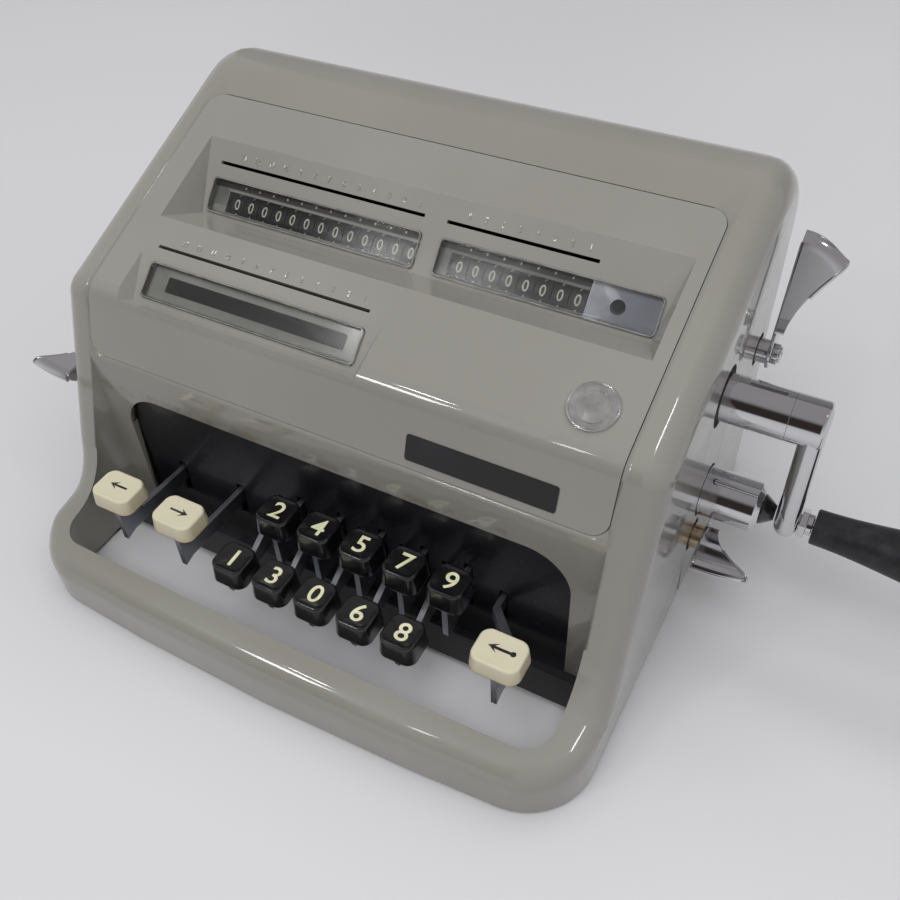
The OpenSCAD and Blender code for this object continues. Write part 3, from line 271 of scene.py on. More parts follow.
def enamel(name, dark, light, scale):
    paint = Finish(name, Coat_Weight=1.0, Coat_Roughness=0.03, Coat_IOR=1.5, Specular_IOR_Level=0.35)
    cloud = paint.noise(scale, 3.0).ramp(0.3, 0.7)
    dust = paint.noise(900, 3.0, 0.6).ramp(0.70, 0.78) * paint.noise(23, 2.0).ramp(0.45, 0.65)
    tint = paint.blend(cloud, dark, light)
    paint.tint = paint.blend(dust * 0.22, tint, DUST)
    smear = paint.noise(30, 3.0, 0.6, stretch=(1, 0.35, 1)).ramp(0.35, 0.75)
    paint.feed(Base_Color=paint.tint, Roughness=smear * 0.14 + 0.30)
    paint.bumps(paint.noise(240, 1.0) * 0.7 + paint.noise(800, 1.0) * 0.3, 0.00005)
    return paint


def bake(thing):
    """Applies the modifiers of a piece."""
    bpy.context.view_layer.update()
    seen = thing.evaluated_get(bpy.context.evaluated_depsgraph_get())
    done = bpy.data.meshes.new_from_object(seen)
    thing.modifiers.clear()
    thing.data = done


def take(thing):
    """The mesh of a helper object with its modifiers applied. The object goes."""
    bake(thing)
    data = thing.data
    bpy.data.objects.remove(thing)
    return data


def settle(name, data, finish, body, smooth=32.0, replaced=()):
    """Makes a piece of a mesh: smooth but for its edges, in its finish, riding on its body."""
    data.shade_smooth()
    data.set_sharp_from_angle(angle=math.radians(smooth))
    thing = bpy.data.objects.new(name, data)
    scene.collection.objects.link(thing)
    lean = thing.modifiers.new("lean", "WEIGHTED_NORMAL")
    lean.keep_sharp = True
    bake(thing)
    thing.data.materials.clear()
    for each in finish if isinstance(finish, tuple) else (finish,):
        thing.data.materials.append(each.material)
    if replaced:
        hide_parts(*replaced)
    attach(thing, body)


MERGE, ON_WALL = 2e-6, 3e-7


def refill(made, x):
    """Fills the flat wall at x again, whose triangles are folded over its outline in places."""
    wall = [f for f in made.faces
            if abs(f.normal.x) > 0.9999 and all(abs(v.co.x - x) < ON_WALL for v in f.verts)]
    bmesh.ops.delete(made, geom=wall, context="FACES")
    rim = [e for e in made.edges if e.is_boundary]
    bmesh.ops.triangle_fill(made, edges=rim, use_beauty=True, normal=(math.copysign(1, x), 0, 0))
    bmesh.ops.recalc_face_normals(made, faces=made.faces)


def skin(node, finish, bevel=0.0, angle=32.0, second=None, walls=()):
    """A smooth copy of a CAD node with its sharp edges broken, which stands for the node.
    second tells of a face whether it takes the second finish."""
    made = bmesh.new()
    made.from_mesh(nodes[node].data)
    bmesh.ops.remove_doubles(made, verts=made.verts, dist=MERGE)
    bmesh.ops.dissolve_degenerate(made, edges=made.edges, dist=MERGE)
    for x in walls:
        refill(made, x)
    if bevel:
        bmesh.ops.dissolve_limit(made, angle_limit=math.radians(0.4), verts=made.verts, edges=made.edges)
        sharp = [e for e in made.edges if len(e.link_faces) == 2
                 and e.calc_face_angle(0) > math.radians(angle)]
        bmesh.ops.bevel(made, geom=sharp, offset=bevel, segments=2, profile=0.5, affect="EDGES",
                        clamp_overlap=True, offset_type="OFFSET")
    for face in made.faces:
        face.material_index = 1 if second and second(face) else 0
    data = bpy.data.meshes.new(node + "_skin")
    made.to_mesh(data)
    made.free()
    settle(node + "_skin", data, finish, nodes[node]["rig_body"], angle, replaced=(node,))


# the hands rub the paint along the edge over the keys, as far right and back as this
WELL_TOP, RUB_HEIGHT, RUB_RIGHT, RUB_BACK = 0.0765, 0.0045, 0.03, -0.02
body_paint = enamel("body_enamel", ENAMEL, ENAMEL_LIGHT, 9)
near_well = abs(body_paint.axis("Z") - WELL_TOP).ramp(0.0, RUB_HEIGHT)
worn = (1 - near_well) * body_paint.noise(60, 4.0, 0.7).ramp(0.44, 0.62)
worn = worn * (body_paint.axis("X") < RUB_RIGHT) * (body_paint.axis("Y") < RUB_BACK)
body_paint.feed(Base_Color=body_paint.blend(worn * 0.55, body_paint.tint, RUBBED))
low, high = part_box("housing")
skin("housing", body_paint, angle=30, walls=(high.x, low.x))
skin("side_plate", body_paint, bevel=0.0003)

# Register panel. A pressed cover let into the body with a fine seam round it. Two troughs are
# sunk in it for the windows. It is a shade lighter and warmer than the body.

PANEL = (0.232, 0.225, 0.200)
PANEL_LIGHT = (0.254, 0.247, 0.222)
# the middle of the machine's box, and the fold between the steep face and the slope over it
MIDDLE, FOLD = Vector((0.0450, 0.06815, 0)), Vector((0, 0.0307, 0.1182))
SLOPE, STEEP, SLOPE_LONG = math.radians(22.66), math.radians(72), 0.1
# the troughs start this far down the slope, and their floors tilt by these more
UPPER_START, LOWER_START = -0.021, -0.079
UPPER_TILT, LOWER_TILT = math.atan(12.5 / 28), math.atan(5.6 / 18)


def turned(angle, axis="X"):
    return Matrix.Rotation(angle, 4, axis)


def moved(x=0.0, y=0.0, z=0.0):
    return Matrix.Translation((x, y, z))


# frames on the surfaces: X across, Y up the surface, Z out of it
fold = Matrix.Translation(FOLD - MIDDLE)
slope = fold @ turned(SLOPE) @ moved(y=SLOPE_LONG)
upper_floor = slope @ moved(y=UPPER_START) @ turned(UPPER_TILT)
lower_floor = slope @ moved(y=LOWER_START) @ turned(LOWER_TILT)
steep_face = fold @ turned(STEEP)

panel_paint = enamel("panel_enamel", PANEL, PANEL_LIGHT, 11)
skin("register_panel", panel_paint, bevel=0.0006, angle=24)

# Scales over the slots. Small figures raised in the pressing, one over each wheel. The white
# that once filled them is mostly worn off; the white patches left are partly that fill, partly painted glints
# on their edges.

CAP_OF_FONT = 0.7


def lettering(text, height, thick, bold=0.0, wide=1.0):
    """A mesh of text, its middle at the origin, facing Z, of a given height of its capitals."""
    curve = bpy.data.curves.new("letters", "FONT")
    curve.body = text
    curve.size = height / CAP_OF_FONT
    curve.offset = bold
    curve.extrude = thick / 2
    curve.resolution_u = 4
    holder = bpy.data.objects.new("letters", curve)
    data = bpy.data.meshes.new_from_object(holder)
    bpy.data.objects.remove(holder)
    at = np.array([v.co for v in data.vertices])
    middle = (at.min(0) + at.max(0)) / 2
    data.transform(Matrix.Diagonal((wide, 1, 1, 1)) @ Matrix.Translation([-c for c in middle]))
    return data


def gather(parts):
    """One mesh of several, each with the matrix that puts it in its place."""
    whole = bmesh.new()
    for data, where in parts:
        copy = data.copy()
        copy.transform(where)
        whole.from_mesh(copy)
        bpy.data.meshes.remove(copy)
    bmesh.ops.recalc_face_normals(whole, faces=whole.faces)
    data = bpy.data.meshes.new("gathered")
    whole.to_mesh(data)
    whole.free()
    return data


WHEEL_PITCH = 0.00675
RESULT_X, COUNTER_X = -0.080, 0.0217
RESULTS, COUNTERS = 13, 8
SCALE_FIGURE = dict(height=0.0022, thick=0.0003, bold=0.00004, wide=0.85)
SCALE_FILL_AND_GLINT = (0.80, 0.80, 0.78)
scale_paint = enamel("scale_enamel", PANEL, PANEL_LIGHT, 11)
# white patches on the figures: partly worn white fill, partly painted glints
white_fill_and_glint = scale_paint.noise(620, 2.0).ramp(0.50, 0.60)
scale_paint.feed(Base_Color=scale_paint.blend(white_fill_and_glint * 0.9, PANEL_LIGHT, SCALE_FILL_AND_GLINT))
for name, surface, x0, count, y in (("result_scale", upper_floor, RESULT_X, RESULTS, -0.0052),
                                    ("counter_scale", upper_floor, COUNTER_X, COUNTERS, -0.0052),
                                    ("setting_scale", slope, RESULT_X, RESULTS, -0.0708)):
    marks = [(lettering(str(count - n), **SCALE_FIGURE), surface @ moved(x0 + n * WHEEL_PITCH, y, 0.0001))
             for n in range(count)]
    settle(name, gather(marks), scale_paint, "body")

# Windows. Clear plastic lenses with a thick rounded rim, pushed into the troughs. They are scratched a
# little, and their
# rims are mostly opaque and pale: a painted highlight for the bright line where the rim catches the light.


class Mixed(Finish):
    """A finish whose surface is a mix of a transparent shader and the Principled one."""

    def __init__(self, name, clear, factor, **fixed):
        super().__init__(name, **fixed)
        through = self.add("BsdfTransparent", None, {"Color": (*clear, 1)})
        share = factor(self)
        both = self.add("MixShader", None, {0: share, 1: through, 2: Wire(self, self.shader.outputs[0])})
        out = self.tree.nodes["Material Output"]
        self.tree.links.new(both.socket, out.inputs["Surface"])


def glance(finish):
    return finish.add("Fresnel", None, {"IOR": 1.49}) * 1.05


def rim_glance(finish):
    return finish.add("Fresnel", None, {"IOR": 1.8}) * 0.6 + 0.50


LENS_CLEAR, RIM_CLEAR, RIM_PAINTED_GLINT = (0.95, 0.96, 0.96), (0.80, 0.81, 0.79), (0.60, 0.60, 0.56, 1)
lens_front = Mixed("lens_front", LENS_CLEAR, glance, Metallic=1.0, Base_Color=(1, 1, 1, 1))
scratch = lens_front.noise(60, 3.0, stretch=(1, 1, 8)).ramp(0.5, 0.8)
lens_front.feed(Roughness=scratch * 0.12 + 0.14)
# each lens is a little crowned from end to end, so its right end catches the window
CROWN_LONG, CROWN_R, CROWN_START = 0.0997, 1.2, -0.138
crown = ((lens_front.axis("X") - CROWN_START) * (1 / CROWN_LONG)).math("FRACT") - 0.5
lens_front.bumps(1 - crown * crown * 4, CROWN_LONG ** 2 / 8 / CROWN_R)
# the rims' pale, mostly opaque colour is a painted highlight for the light their clear plastic catches
lens_rim_glint = Mixed("lens_rim_glint", RIM_CLEAR, rim_glance, Base_Color=RIM_PAINTED_GLINT, Roughness=0.12,
                 Coat_Weight=1.0, Coat_Roughness=0.05)


def rim_of(surface):
    out = (surface.to_3x3() @ Vector((0, 0, 1))).normalized()
    return lambda face: abs(face.normal @ out) < 0.97


# the middles of the windows, up the floors of their troughs
UPPER_ROW, LOWER_ROW = -0.0223, -0.0096
LENS_BREAK = 0.0004
windows = (("result_window", upper_floor, UPPER_ROW), ("counter_window", upper_floor, UPPER_ROW),
           ("setting_window", lower_floor, LOWER_ROW))
for node, surface, row_y in windows:
    skin(node, (lens_front, lens_rim_glint), bevel=LENS_BREAK, second=rim_of(surface))

# Shoulders of the windows. The rounded outer edge of each moulded lens, which stands just over the floor of
# its trough and shows as a pale line. An opaque bead follows it, its pale grey a painted highlight for the
# light on the clear edge.


class Tree(Finish):
    """A Geometry Nodes tree with named sizes. It takes a mesh, and gives it a finish."""

    family = "GeometryNode"

    def __init__(self, name, **sizes):
        self.tree = bpy.data.node_groups.new(name, "GeometryNodeTree")
        self.sockets = {}
        for each, kind in dict(Mesh="Geometry", Finish="Material", **sizes).items():
            socket = self.tree.interface.new_socket(each, in_out="INPUT", socket_type="NodeSocket" + kind)
            self.sockets[each] = socket.identifier
        self.tree.interface.new_socket("Mesh", in_out="OUTPUT", socket_type="NodeSocketGeometry")
        self.inlet = self.tree.nodes.new("NodeGroupInput")

    def given(self, name):
        return Wire(self, self.inlet.outputs[name])

    def close(self, made):
        real = self.add("RealizeInstances", None, {"Geometry": made})
        done = self.add("SetMaterial", None, {"Geometry": real, "Material": self.given("Finish")})
        outlet = self.tree.nodes.new("NodeGroupOutput")
        self.tree.links.new(done.socket, outlet.inputs["Mesh"])

    def grow(self, data, finish, **sizes):
        """Runs the tree on a mesh, and returns the plain mesh that comes out."""
        thing = bpy.data.objects.new(self.tree.name, data)
        scene.collection.objects.link(thing)
        maker = thing.modifiers.new("tree", "NODES")
        maker.node_group = self.tree
        for name, value in dict(Finish=finish.material, **sizes).items():
            maker[self.sockets[name]] = value
        return take(thing)


bead = Tree("bead", Radius="Float")
BEAD_SIDES = 10
bar = bead.add("CurvePrimitiveCircle", None, {"Resolution": BEAD_SIDES, "Radius": bead.given("Radius")})
run = bead.add("MeshToCurve", None, {"Mesh": bead.given("Mesh")})
bead.close(bead.add("CurveToMesh", None, {"Curve": run, "Profile Curve": bar, "Fill Caps": True}))


def thread(path, closed=False):
    """A bare line from point to point, for the bead to follow."""
    data = bpy.data.meshes.new("thread")
    ends = [(len(path) - 1, 0)] if closed else []
    data.from_pydata(path, [(i, i + 1) for i in range(len(path) - 1)] + ends, [])
    return data


def rounded_outline(w, d, r, corner=6):
    """Points round a rectangle with rounded corners, its middle at the origin."""
    return [(sx * (w / 2 - r) + r * math.cos(t), sy * (d / 2 - r) + r * math.sin(t))
            for sx, sy, start in ((1, 1, 0), (-1, 1, 90), (-1, -1, 180), (1, -1, 270))
            for t in np.radians(start + np.linspace(0, 90, corner + 1))]


def mottled(name, dark, light, grain, gloss=None, **fixed):
    """A finish of two colours. Grain is a noise's scale and detail, and where it turns from dark
    to light. Gloss is the noise of the roughness: scale, detail, spread and least."""
    finish = Finish(name, **fixed)
    scale, detail, start, end = grain
    finish.feed(Base_Color=finish.blend(finish.noise(scale, detail).ramp(start, end), dark, light))
    if gloss:
        scale, detail, spread, least = gloss
        finish.feed(Roughness=finish.noise(scale, detail) * spread + least)
    return finish


SHOULDER_DEEP, SHOULDER_R, SHOULDER_BEND = 0.0138, 0.00028, 0.0018
SHOULDER_IN, SHOULDER_UP = 0.0004, 0.00075
# painted highlight: the bead's pale grey stands for the light that the clear edge of the lens catches
shoulder_sheen = mottled("lens_shoulder_sheen", (0.17, 0.17, 0.15), (0.26, 0.26, 0.24), (150, 2.0, 0.35, 0.65),
                   (300, 2.0, 0.15, 0.12), Coat_Weight=1.0, Coat_Roughness=0.05)
rings = []
for node, surface, row_y in windows:
    low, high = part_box(node)
    outline = rounded_outline(high.x - low.x - 2 * SHOULDER_IN, SHOULDER_DEEP, SHOULDER_BEND, 4)
    ring = bead.grow(thread([(*p, 0.0) for p in outline], closed=True), shoulder_sheen, Radius=SHOULDER_R)
    rings.append((ring, surface @ moved((low.x + high.x) / 2 + MIDDLE.x, row_y, SHOULDER_UP)))
settle("window_shoulders", gather(rings), shoulder_sheen, "body")

# Masks behind the windows. Sheet in pale enamel with an opening for each bank of wheels, and
# beside the counter a bright plate with a round hole.

MASK, MASK_LIGHT, MASK_SHADE = (0.235, 0.232, 0.215), (0.27, 0.26, 0.235), (0.030, 0.024, 0.021)
PLATE_DULL, PLATE_BRIGHT = (0.34, 0.35, 0.40), (0.50, 0.50, 0.53)
UPPER_SHADE, LOWER_SHADE = UPPER_ROW + 0.0041, LOWER_ROW + 0.0066
SHEET_BREAK = 0.0002


def masked(name, surface, tilt, edge):
    """Pale enamel, with painted shade in dark brown above a line that lies this far up its trough's floor."""
    paint = Finish(name, Roughness=0.38)
    height = paint.axis("Y") * math.cos(tilt) + paint.axis("Z") * math.sin(tilt)
    start = surface @ Vector((0, edge, 0))
    painted_shade = (height - (start.y * math.cos(tilt) + start.z * math.sin(tilt))).ramp(-0.0003, 0.0004)
    tone = paint.blend(paint.noise(90, 3.0).ramp(0.4, 0.7), MASK, MASK_LIGHT)
    paint.feed(Base_Color=paint.blend(painted_shade, tone, MASK_SHADE))
    return paint


register_paint = masked("register_mask_enamel", upper_floor, SLOPE + UPPER_TILT, UPPER_SHADE)
setting_paint = masked("setting_mask_enamel", lower_floor, SLOPE + LOWER_TILT, LOWER_SHADE)
skin("register_mask", register_paint, bevel=SHEET_BREAK)
skin("setting_mask", setting_paint, bevel=SHEET_BREAK)
bright = Finish("bright_plate", Metallic=1.0)
grain = bright.noise(500, 3.0, stretch=(0.06, 1, 1))
bright.feed(Base_Color=bright.blend(bright.noise(70, 2.0).ramp(0.35, 0.7), PLATE_DULL, PLATE_BRIGHT),
            Roughness=grain * 0.2 + 0.26)
skin("counter_plate", bright, bevel=SHEET_BREAK)

# Number wheels. Black moulded wheels on one shaft, with white figures round the rim. All stand
# at nought. One wheel's ten figures are made, and a tree repeats them along the shaft.

WHEEL_R = 0.009
WHEEL_FIGURE = dict(height=0.0042, thick=0.0002, bold=0.00004, wide=0.86)
wheel_black = mottled("wheel_black", (0.004, 0.004, 0.005), (0.011, 0.011, 0.013), (300, 3.0, 0.4, 0.8),
                      (150, 2.0, 0.2, 0.3), Coat_Weight=0.3, Coat_Roughness=0.15, Specular_IOR_Level=0.3)
wheel_white = mottled("wheel_white", (0.50, 0.47, 0.38), (0.68, 0.65, 0.56), (500, 2.0, 0.35, 0.7),
                      Roughness=0.45)
low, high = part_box("counter_units_wheel")
wheel_middle = (low + high) / 2
row = Tree("row", Count="Int", Step="Vector")
places = row.add("MeshLine", None, {"Count": row.given("Count"), "Offset": row.given("Step")})
row.close(row.add("InstanceOnPoints", None, {"Points": places, "Instance": row.given("Mesh")}))
NEXT_WHEEL = (WHEEL_PITCH, 0.0, 0.0)


def round_rim(k, data):
    """Wraps a flat figure k tenths of a turn round the rim of the wheel in the middle."""
    copy = data.copy()
    for v in copy.vertices:
        a = v.co.y / WHEEL_R
        r = WHEEL_R + v.co.z
        v.co = (v.co.x, r * math.sin(a), r * math.cos(a))
    copy.transform(turned(SLOPE + UPPER_TILT + k * math.tau / 10))
    return copy


digits = [round_rim(k, lettering(str(k), **WHEEL_FIGURE)) for k in range(10)]
for body, name, x0, count in (("result_wheels", "result_figures", RESULT_X, RESULTS),
                              ("counter_wheels", "counter_figures", COUNTER_X, COUNTERS - 1),
                              ("counter_units_wheel", "units_figures",
                               COUNTER_X + (COUNTERS - 1) * WHEEL_PITCH, 1)):
    first = Matrix.Translation((x0 - MIDDLE.x, wheel_middle.y, wheel_middle.z))
    figures = row.grow(gather([(digit, first) for digit in digits]), wheel_white,
                       Count=count, Step=NEXT_WHEEL)
    settle(name, figures, wheel_white, body)
for node in ("result_wheels", "counter_wheels", "counter_units_wheel"):
    skin(node, wheel_black, bevel=0.00025)

# Ticks on the masks. Small white marks printed on the dark part of the mask, one over the gap
# between each two wheels. The tree of the wheels repeats them.


def loft(rings):
    """A skin over rings of points that match one to one, closed at both ends."""
    made = bmesh.new()
    loops = [[made.verts.new(p) for p in ring] for ring in rings]
    for one, two in zip(loops, loops[1:]):
        for i in range(len(one)):
            j = (i + 1) % len(one)
            made.faces.new((one[i], one[j], two[j], two[i]))
    made.faces.new(loops[0][::-1])
    made.faces.new(loops[-1])
    bmesh.ops.recalc_face_normals(made, faces=made.faces)
    data = bpy.data.meshes.new("loft")
    made.to_mesh(data)
    made.free()
    return data


def slab(outline, *heights):
    """The same outline at each height."""
    return loft([[(*p, z) for p in outline] for z in heights])


# the face of both masks, seen from the floors of the troughs, and the ticks' place up it
MASK_FACE, TICKS_UP = -0.002, -0.0166
tick = slab(rounded_outline(0.0007, 0.0010, 0.0003, 3), -0.0001, 0.00012)
ticks = [(row.grow(tick, wheel_white, Count=count, Step=NEXT_WHEEL),
          upper_floor @ moved(x0 + WHEEL_PITCH / 2, TICKS_UP, MASK_FACE))
         for x0, count in ((RESULT_X, RESULTS - 1), (COUNTER_X, COUNTERS - 1))]
settle("mask_ticks", gather(ticks), wheel_white, "body")

# Painted shade and upper strip of the setting window. Two thin plates on the mask: a dark brown one over the
# slot, which is painted shade for the dark inside of the window, and over it a strip that is pale like the
# mask.

SLOT_SHADE_DARK, SLOT_SHADE_LIGHT = (0.005, 0.0035, 0.0035), (0.012, 0.0085, 0.0085)
SLOT_SHADE_X, SLOT_SHADE_WIDE = -0.0408, 0.0813
# painted shade: this dark brown plate stands for the dark inside of the setting window's slot
slot_shade_brown = Finish("slot_shade_brown", Coat_Weight=0.4, Coat_Roughness=0.2)
streaks = slot_shade_brown.noise(120, 3.0, stretch=(0.2, 1, 1)).ramp(0.4, 0.7)
slot_shade_brown.feed(Base_Color=slot_shade_brown.blend(streaks, SLOT_SHADE_DARK, SLOT_SHADE_LIGHT),
                   Roughness=slot_shade_brown.noise(300, 2.0) * 0.2 + 0.3)
for name, low_y, high_y, finish in (("setting_slot_shade", -0.0122, -0.0062, slot_shade_brown),
                                    ("setting_strip", -0.0061, -0.0030, setting_paint)):
    plate = slab(rounded_outline(SLOT_SHADE_WIDE, high_y - low_y, 0.0004, 3), -0.0001, 0.00015)
    plate.transform(lower_floor @ moved(SLOT_SHADE_X, (low_y + high_y) / 2, MASK_FACE))
    settle(name, plate, finish, "body")

# Badge. A small domed disc of spun satin metal in a raised ring, pressed into a round recess of
# the panel. It is left bare.

BADGE_AT = (0.0936, -0.0837, 0.0)
BADGE_DULL, BADGE_BRIGHT = (0.60, 0.61, 0.59), (0.82, 0.82, 0.79)
badge_metal = Finish("badge_metal", Metallic=1.0)
badge_spot = badge_metal.add("Mapping", None, {"Vector": badge_metal.place(),
                                              "Location": -(slope @ Vector(BADGE_AT))})
spun = badge_metal.add("TexWave", dict(wave_type="RINGS", rings_direction="SPHERICAL"),
                       {"Vector": badge_spot, "Scale": 900.0, "Distortion": 0.6}, output=1)
cloudy = badge_metal.noise(260, 3.0).ramp(0.3, 0.7)
badge_metal.feed(Base_Color=badge_metal.blend(cloudy, BADGE_DULL, BADGE_BRIGHT), Roughness=spun * 0.10 + 0.24)
badge_metal.bumps(spun, 0.00002)
# half the disc's outline: the dome, a groove and a ring, the plain band, the rolled outer ring
badge_line = ((0.0, 0.0010), (0.0035, 0.00095), (0.0056, 0.0008), (0.0057, 0.00105), (0.0061, 0.00105),
              (0.0062, 0.0008), (0.0079, 0.0008), (0.0081, 0.0012), (0.0084, 0.0013), (0.0088, 0.0011),
              (0.0090, 0.0006), (0.0090, 0.0))


def lathe(line, sides=64):
    """A round solid from half its outline: (radius, height), from the axis outwards."""
    made = bmesh.new()
    rings = []
    for r, z in line:
        if r == 0:
            rings.append([made.verts.new((0, 0, z))])
        else:
            rings.append([made.verts.new((r * math.cos(a), r * math.sin(a), z))
                          for a in np.linspace(0, math.tau, sides, endpoint=False)])
    for one, two in zip(rings, rings[1:]):
        for i in range(sides):
            j = (i + 1) % sides
            if len(one) == 1:
                made.faces.new((one[0], two[i], two[j]))
            elif len(two) == 1:
                made.faces.new((one[i], two[0], one[j]))
            else:
                made.faces.new((one[i], two[i], two[j], one[j]))
    if len(rings[-1]) > 1:
        made.faces.new(rings[-1][::-1])
    bmesh.ops.recalc_face_normals(made, faces=made.faces)
    data = bpy.data.meshes.new("lathe")
    made.to_mesh(data)
    made.free()
    return data


disc = lathe(badge_line)
disc.transform(slope @ moved(*BADGE_AT))
settle("badge_disc", disc, badge_metal, "body", replaced=("badge",))

# Blank plate on the steep face. A thin label of glossy black plastic with rounded corners and
# a broken edge, stuck flat on the enamel. It is left bare.

LABEL_X0, LABEL_X1, LABEL_LOW, LABEL_HIGH = 0.0345, 0.0916, -0.0244, -0.0142
label_black = mottled("label_black", (0.006, 0.006, 0.007), (0.012, 0.012, 0.014), (40, 2.0, 0.4, 0.7),
                      (200, 2.0, 0.1, 0.1), Coat_Weight=0.5, Coat_Roughness=0.02, Specular_IOR_Level=0.2)
wide, tall = LABEL_X1 - LABEL_X0, LABEL_HIGH - LABEL_LOW
label = loft([[(*p, z) for p in rounded_outline(wide - drawn_in, tall - drawn_in, 0.0012)]
              for drawn_in, z in ((0, 0.00002), (0, 0.0003), (0.0002, 0.0004))])
label.transform(steep_face @ moved((LABEL_X0 + LABEL_X1) / 2, (LABEL_LOW + LABEL_HIGH) / 2, 0))
settle("blank_label", label, label_black, "body")

# Keyboard plate and the bar under the keys. Folded sheet in black satin enamel. The plate has a
# slot for each key lever, with a little dust and grease round the slots.

SATIN_BLACK, SLOT_DUST = (0.0040, 0.0040, 0.0065), (0.20, 0.19, 0.18)
black_satin = Finish("black_satin", Coat_Weight=0.25, Coat_Roughness=0.12, Specular_IOR_Level=0.35)
grey_dust = black_satin.noise(700, 3.0, 0.6).ramp(0.62, 0.74) * black_satin.noise(40, 2.0).ramp(0.4, 0.7)
black_satin.feed(Base_Color=black_satin.blend(grey_dust * 0.22, SATIN_BLACK, SLOT_DUST),
                 Roughness=black_satin.noise(120, 3.0) * 0.18 + 0.32)
black_satin.bumps(black_satin.noise(1500, 2.0), 0.00004)
for node in ("keyboard_plate", "key_bar"):
    skin(node, black_satin, bevel=0.0003)

# Key levers. Stamped strips of bare steel, bluish and a little worn, on one shaft behind the
# plate. Each stands in the slot of its key.

STEEL_BLUE, STEEL_BRIGHT, STEEL_SPOT = (0.30, 0.32, 0.37), (0.46, 0.47, 0.50), (0.14, 0.11, 0.09)
steel = Finish("steel", Metallic=1.0)
drawn = steel.noise(900, 3.0, stretch=(1, 0.05, 0.5))
spots = steel.noise(160, 4.0, 0.7).ramp(0.60, 0.75)
tarnished = steel.blend(steel.noise(45, 2.0).ramp(0.3, 0.7), STEEL_BLUE, STEEL_BRIGHT)
steel.feed(Base_Color=steel.blend(spots * 0.5, tarnished, STEEL_SPOT), Roughness=drawn * 0.25 + 0.24)
steel.bumps(drawn, 0.00002)
key_names = ("1", "3", "0", "6", "8", "2", "4", "5", "7", "9", "left", "right", "return")
for key in key_names:
    skin("lever_" + key, steel, bevel=0.0002)

# Key caps. Moulded: a soft square foot, sides that draw in, a rounded edge and a dished top.
# The number keys are glossy black, the three shift keys cream and a little yellowed, with painted shade lower
# down on them.

BLACK_DEEP, BLACK_WORN = (0.0045, 0.0045, 0.0055), (0.0100, 0.0095, 0.0105)
CREAM, CREAM_SHADED, CREAM_FLECK = (0.575, 0.535, 0.395), (0.490, 0.395, 0.210), (0.30, 0.22, 0.13)
# painted shade: the cream turns darker and yellower from this height of the caps down
SHADE_TOP, SHADE_DEEP = 0.057, 0.008
black_plastic = Finish("black_plastic", Coat_Weight=0.6, Coat_Roughness=0.06, IOR=1.5)
handled = black_plastic.noise(220, 3.0).ramp(0.45, 0.8)
black_plastic.feed(Base_Color=black_plastic.blend(handled, BLACK_DEEP, BLACK_WORN),
                   Roughness=black_plastic.noise(90, 3.0).ramp(0.3, 0.8) * 0.10 + 0.20)
cream_plastic = Finish("cream_plastic", Coat_Weight=0.5, Coat_Roughness=0.08, Subsurface_Weight=0.10,
                       Subsurface_Scale=0.002)
# painted shade, darker and yellower low on the caps
low_shade = (1 - cream_plastic.axis("Z").ramp(SHADE_TOP - SHADE_DEEP, SHADE_TOP)) * 0.65
shaded_cream = cream_plastic.blend(low_shade, CREAM, CREAM_SHADED)
flecks = cream_plastic.noise(1100, 2.0).ramp(0.74, 0.80)
cream_plastic.feed(Base_Color=cream_plastic.blend(flecks * 0.4, shaded_cream, CREAM_FLECK),
                   Roughness=cream_plastic.noise(80, 3.0) * 0.15 + 0.22)
BLACK_CAP = dict(foot=(0.0158, 0.0153), top=(0.0146, 0.0142), tall=0.0095, corner=0.0036, dish=0.0007)
CREAM_CAP = dict(foot=(0.0196, 0.0158), top=(0.0185, 0.0147), tall=0.0072, corner=0.0040, dish=0.0006)


def squircle(w, d, r, bulge):
    """A rounded rectangle whose straight sides bulge a little."""
    ring = []
    for x, y in rounded_outline(w - 2 * bulge, d - 2 * bulge, r, 8):
        ring.append((x * (1 + 2 * bulge / w * (1 - (2 * y / d) ** 2)),
                     y * (1 + 2 * bulge / d * (1 - (2 * x / w) ** 2))))
    return ring


FOOT_EDGE, FOOT_TALL, TOP_EDGE = 0.0003, 0.0009, 0.0011
BULGE, TIGHTER, HAIR = 0.0004, 0.0004, 0.0001


def cap_surface(foot, top, tall, corner, dish):
    """The skin of a cap, foot at the origin, and the height of its dished top at any point."""
    def dished(x, y):
        return tall - HAIR - dish * max(0.0, 1 - (2 * x / top[0]) ** 2) * max(0.0, 1 - (2 * y / top[1]) ** 2)

    rings = []
    for inset, z in ((FOOT_EDGE, 0.0), (0.0, FOOT_EDGE), (0.0, FOOT_TALL)):
        foot_ring = squircle(foot[0] - 2 * inset, foot[1] - 2 * inset, corner, BULGE)
        rings.append([(x, y, z) for x, y in foot_ring])
    for share in (0.35, 0.7, 1.0):
        w, d = (f + (t - f) * share for f, t in zip(foot, top))
        z = FOOT_TALL + (tall - TOP_EDGE - FOOT_TALL) * share
        rings.append([(x, y, z) for x, y in squircle(w, d, corner - TIGHTER * share, BULGE)])
    for a in np.radians((22, 45, 68, 90)):
        inset = TOP_EDGE * (1 - math.cos(a))
        z = tall - TOP_EDGE + TOP_EDGE * math.sin(a) - HAIR * (a > 1.5)
        rings.append([(x, y, z) for x, y in squircle(top[0] - 2 * inset, top[1] - 2 * inset,
                                                     corner - TIGHTER - inset, BULGE)])
    w, d = top[0] - 2 * TOP_EDGE, top[1] - 2 * TOP_EDGE
    for share in (0.93, 0.8, 0.6, 0.4, 0.2, 0.05):
        ring = squircle(w * share, d * share, (corner - TIGHTER - TOP_EDGE) * share, BULGE * share)
        rings.append([(x, y, dished(x, y)) for x, y in ring])
    return loft(rings), dished


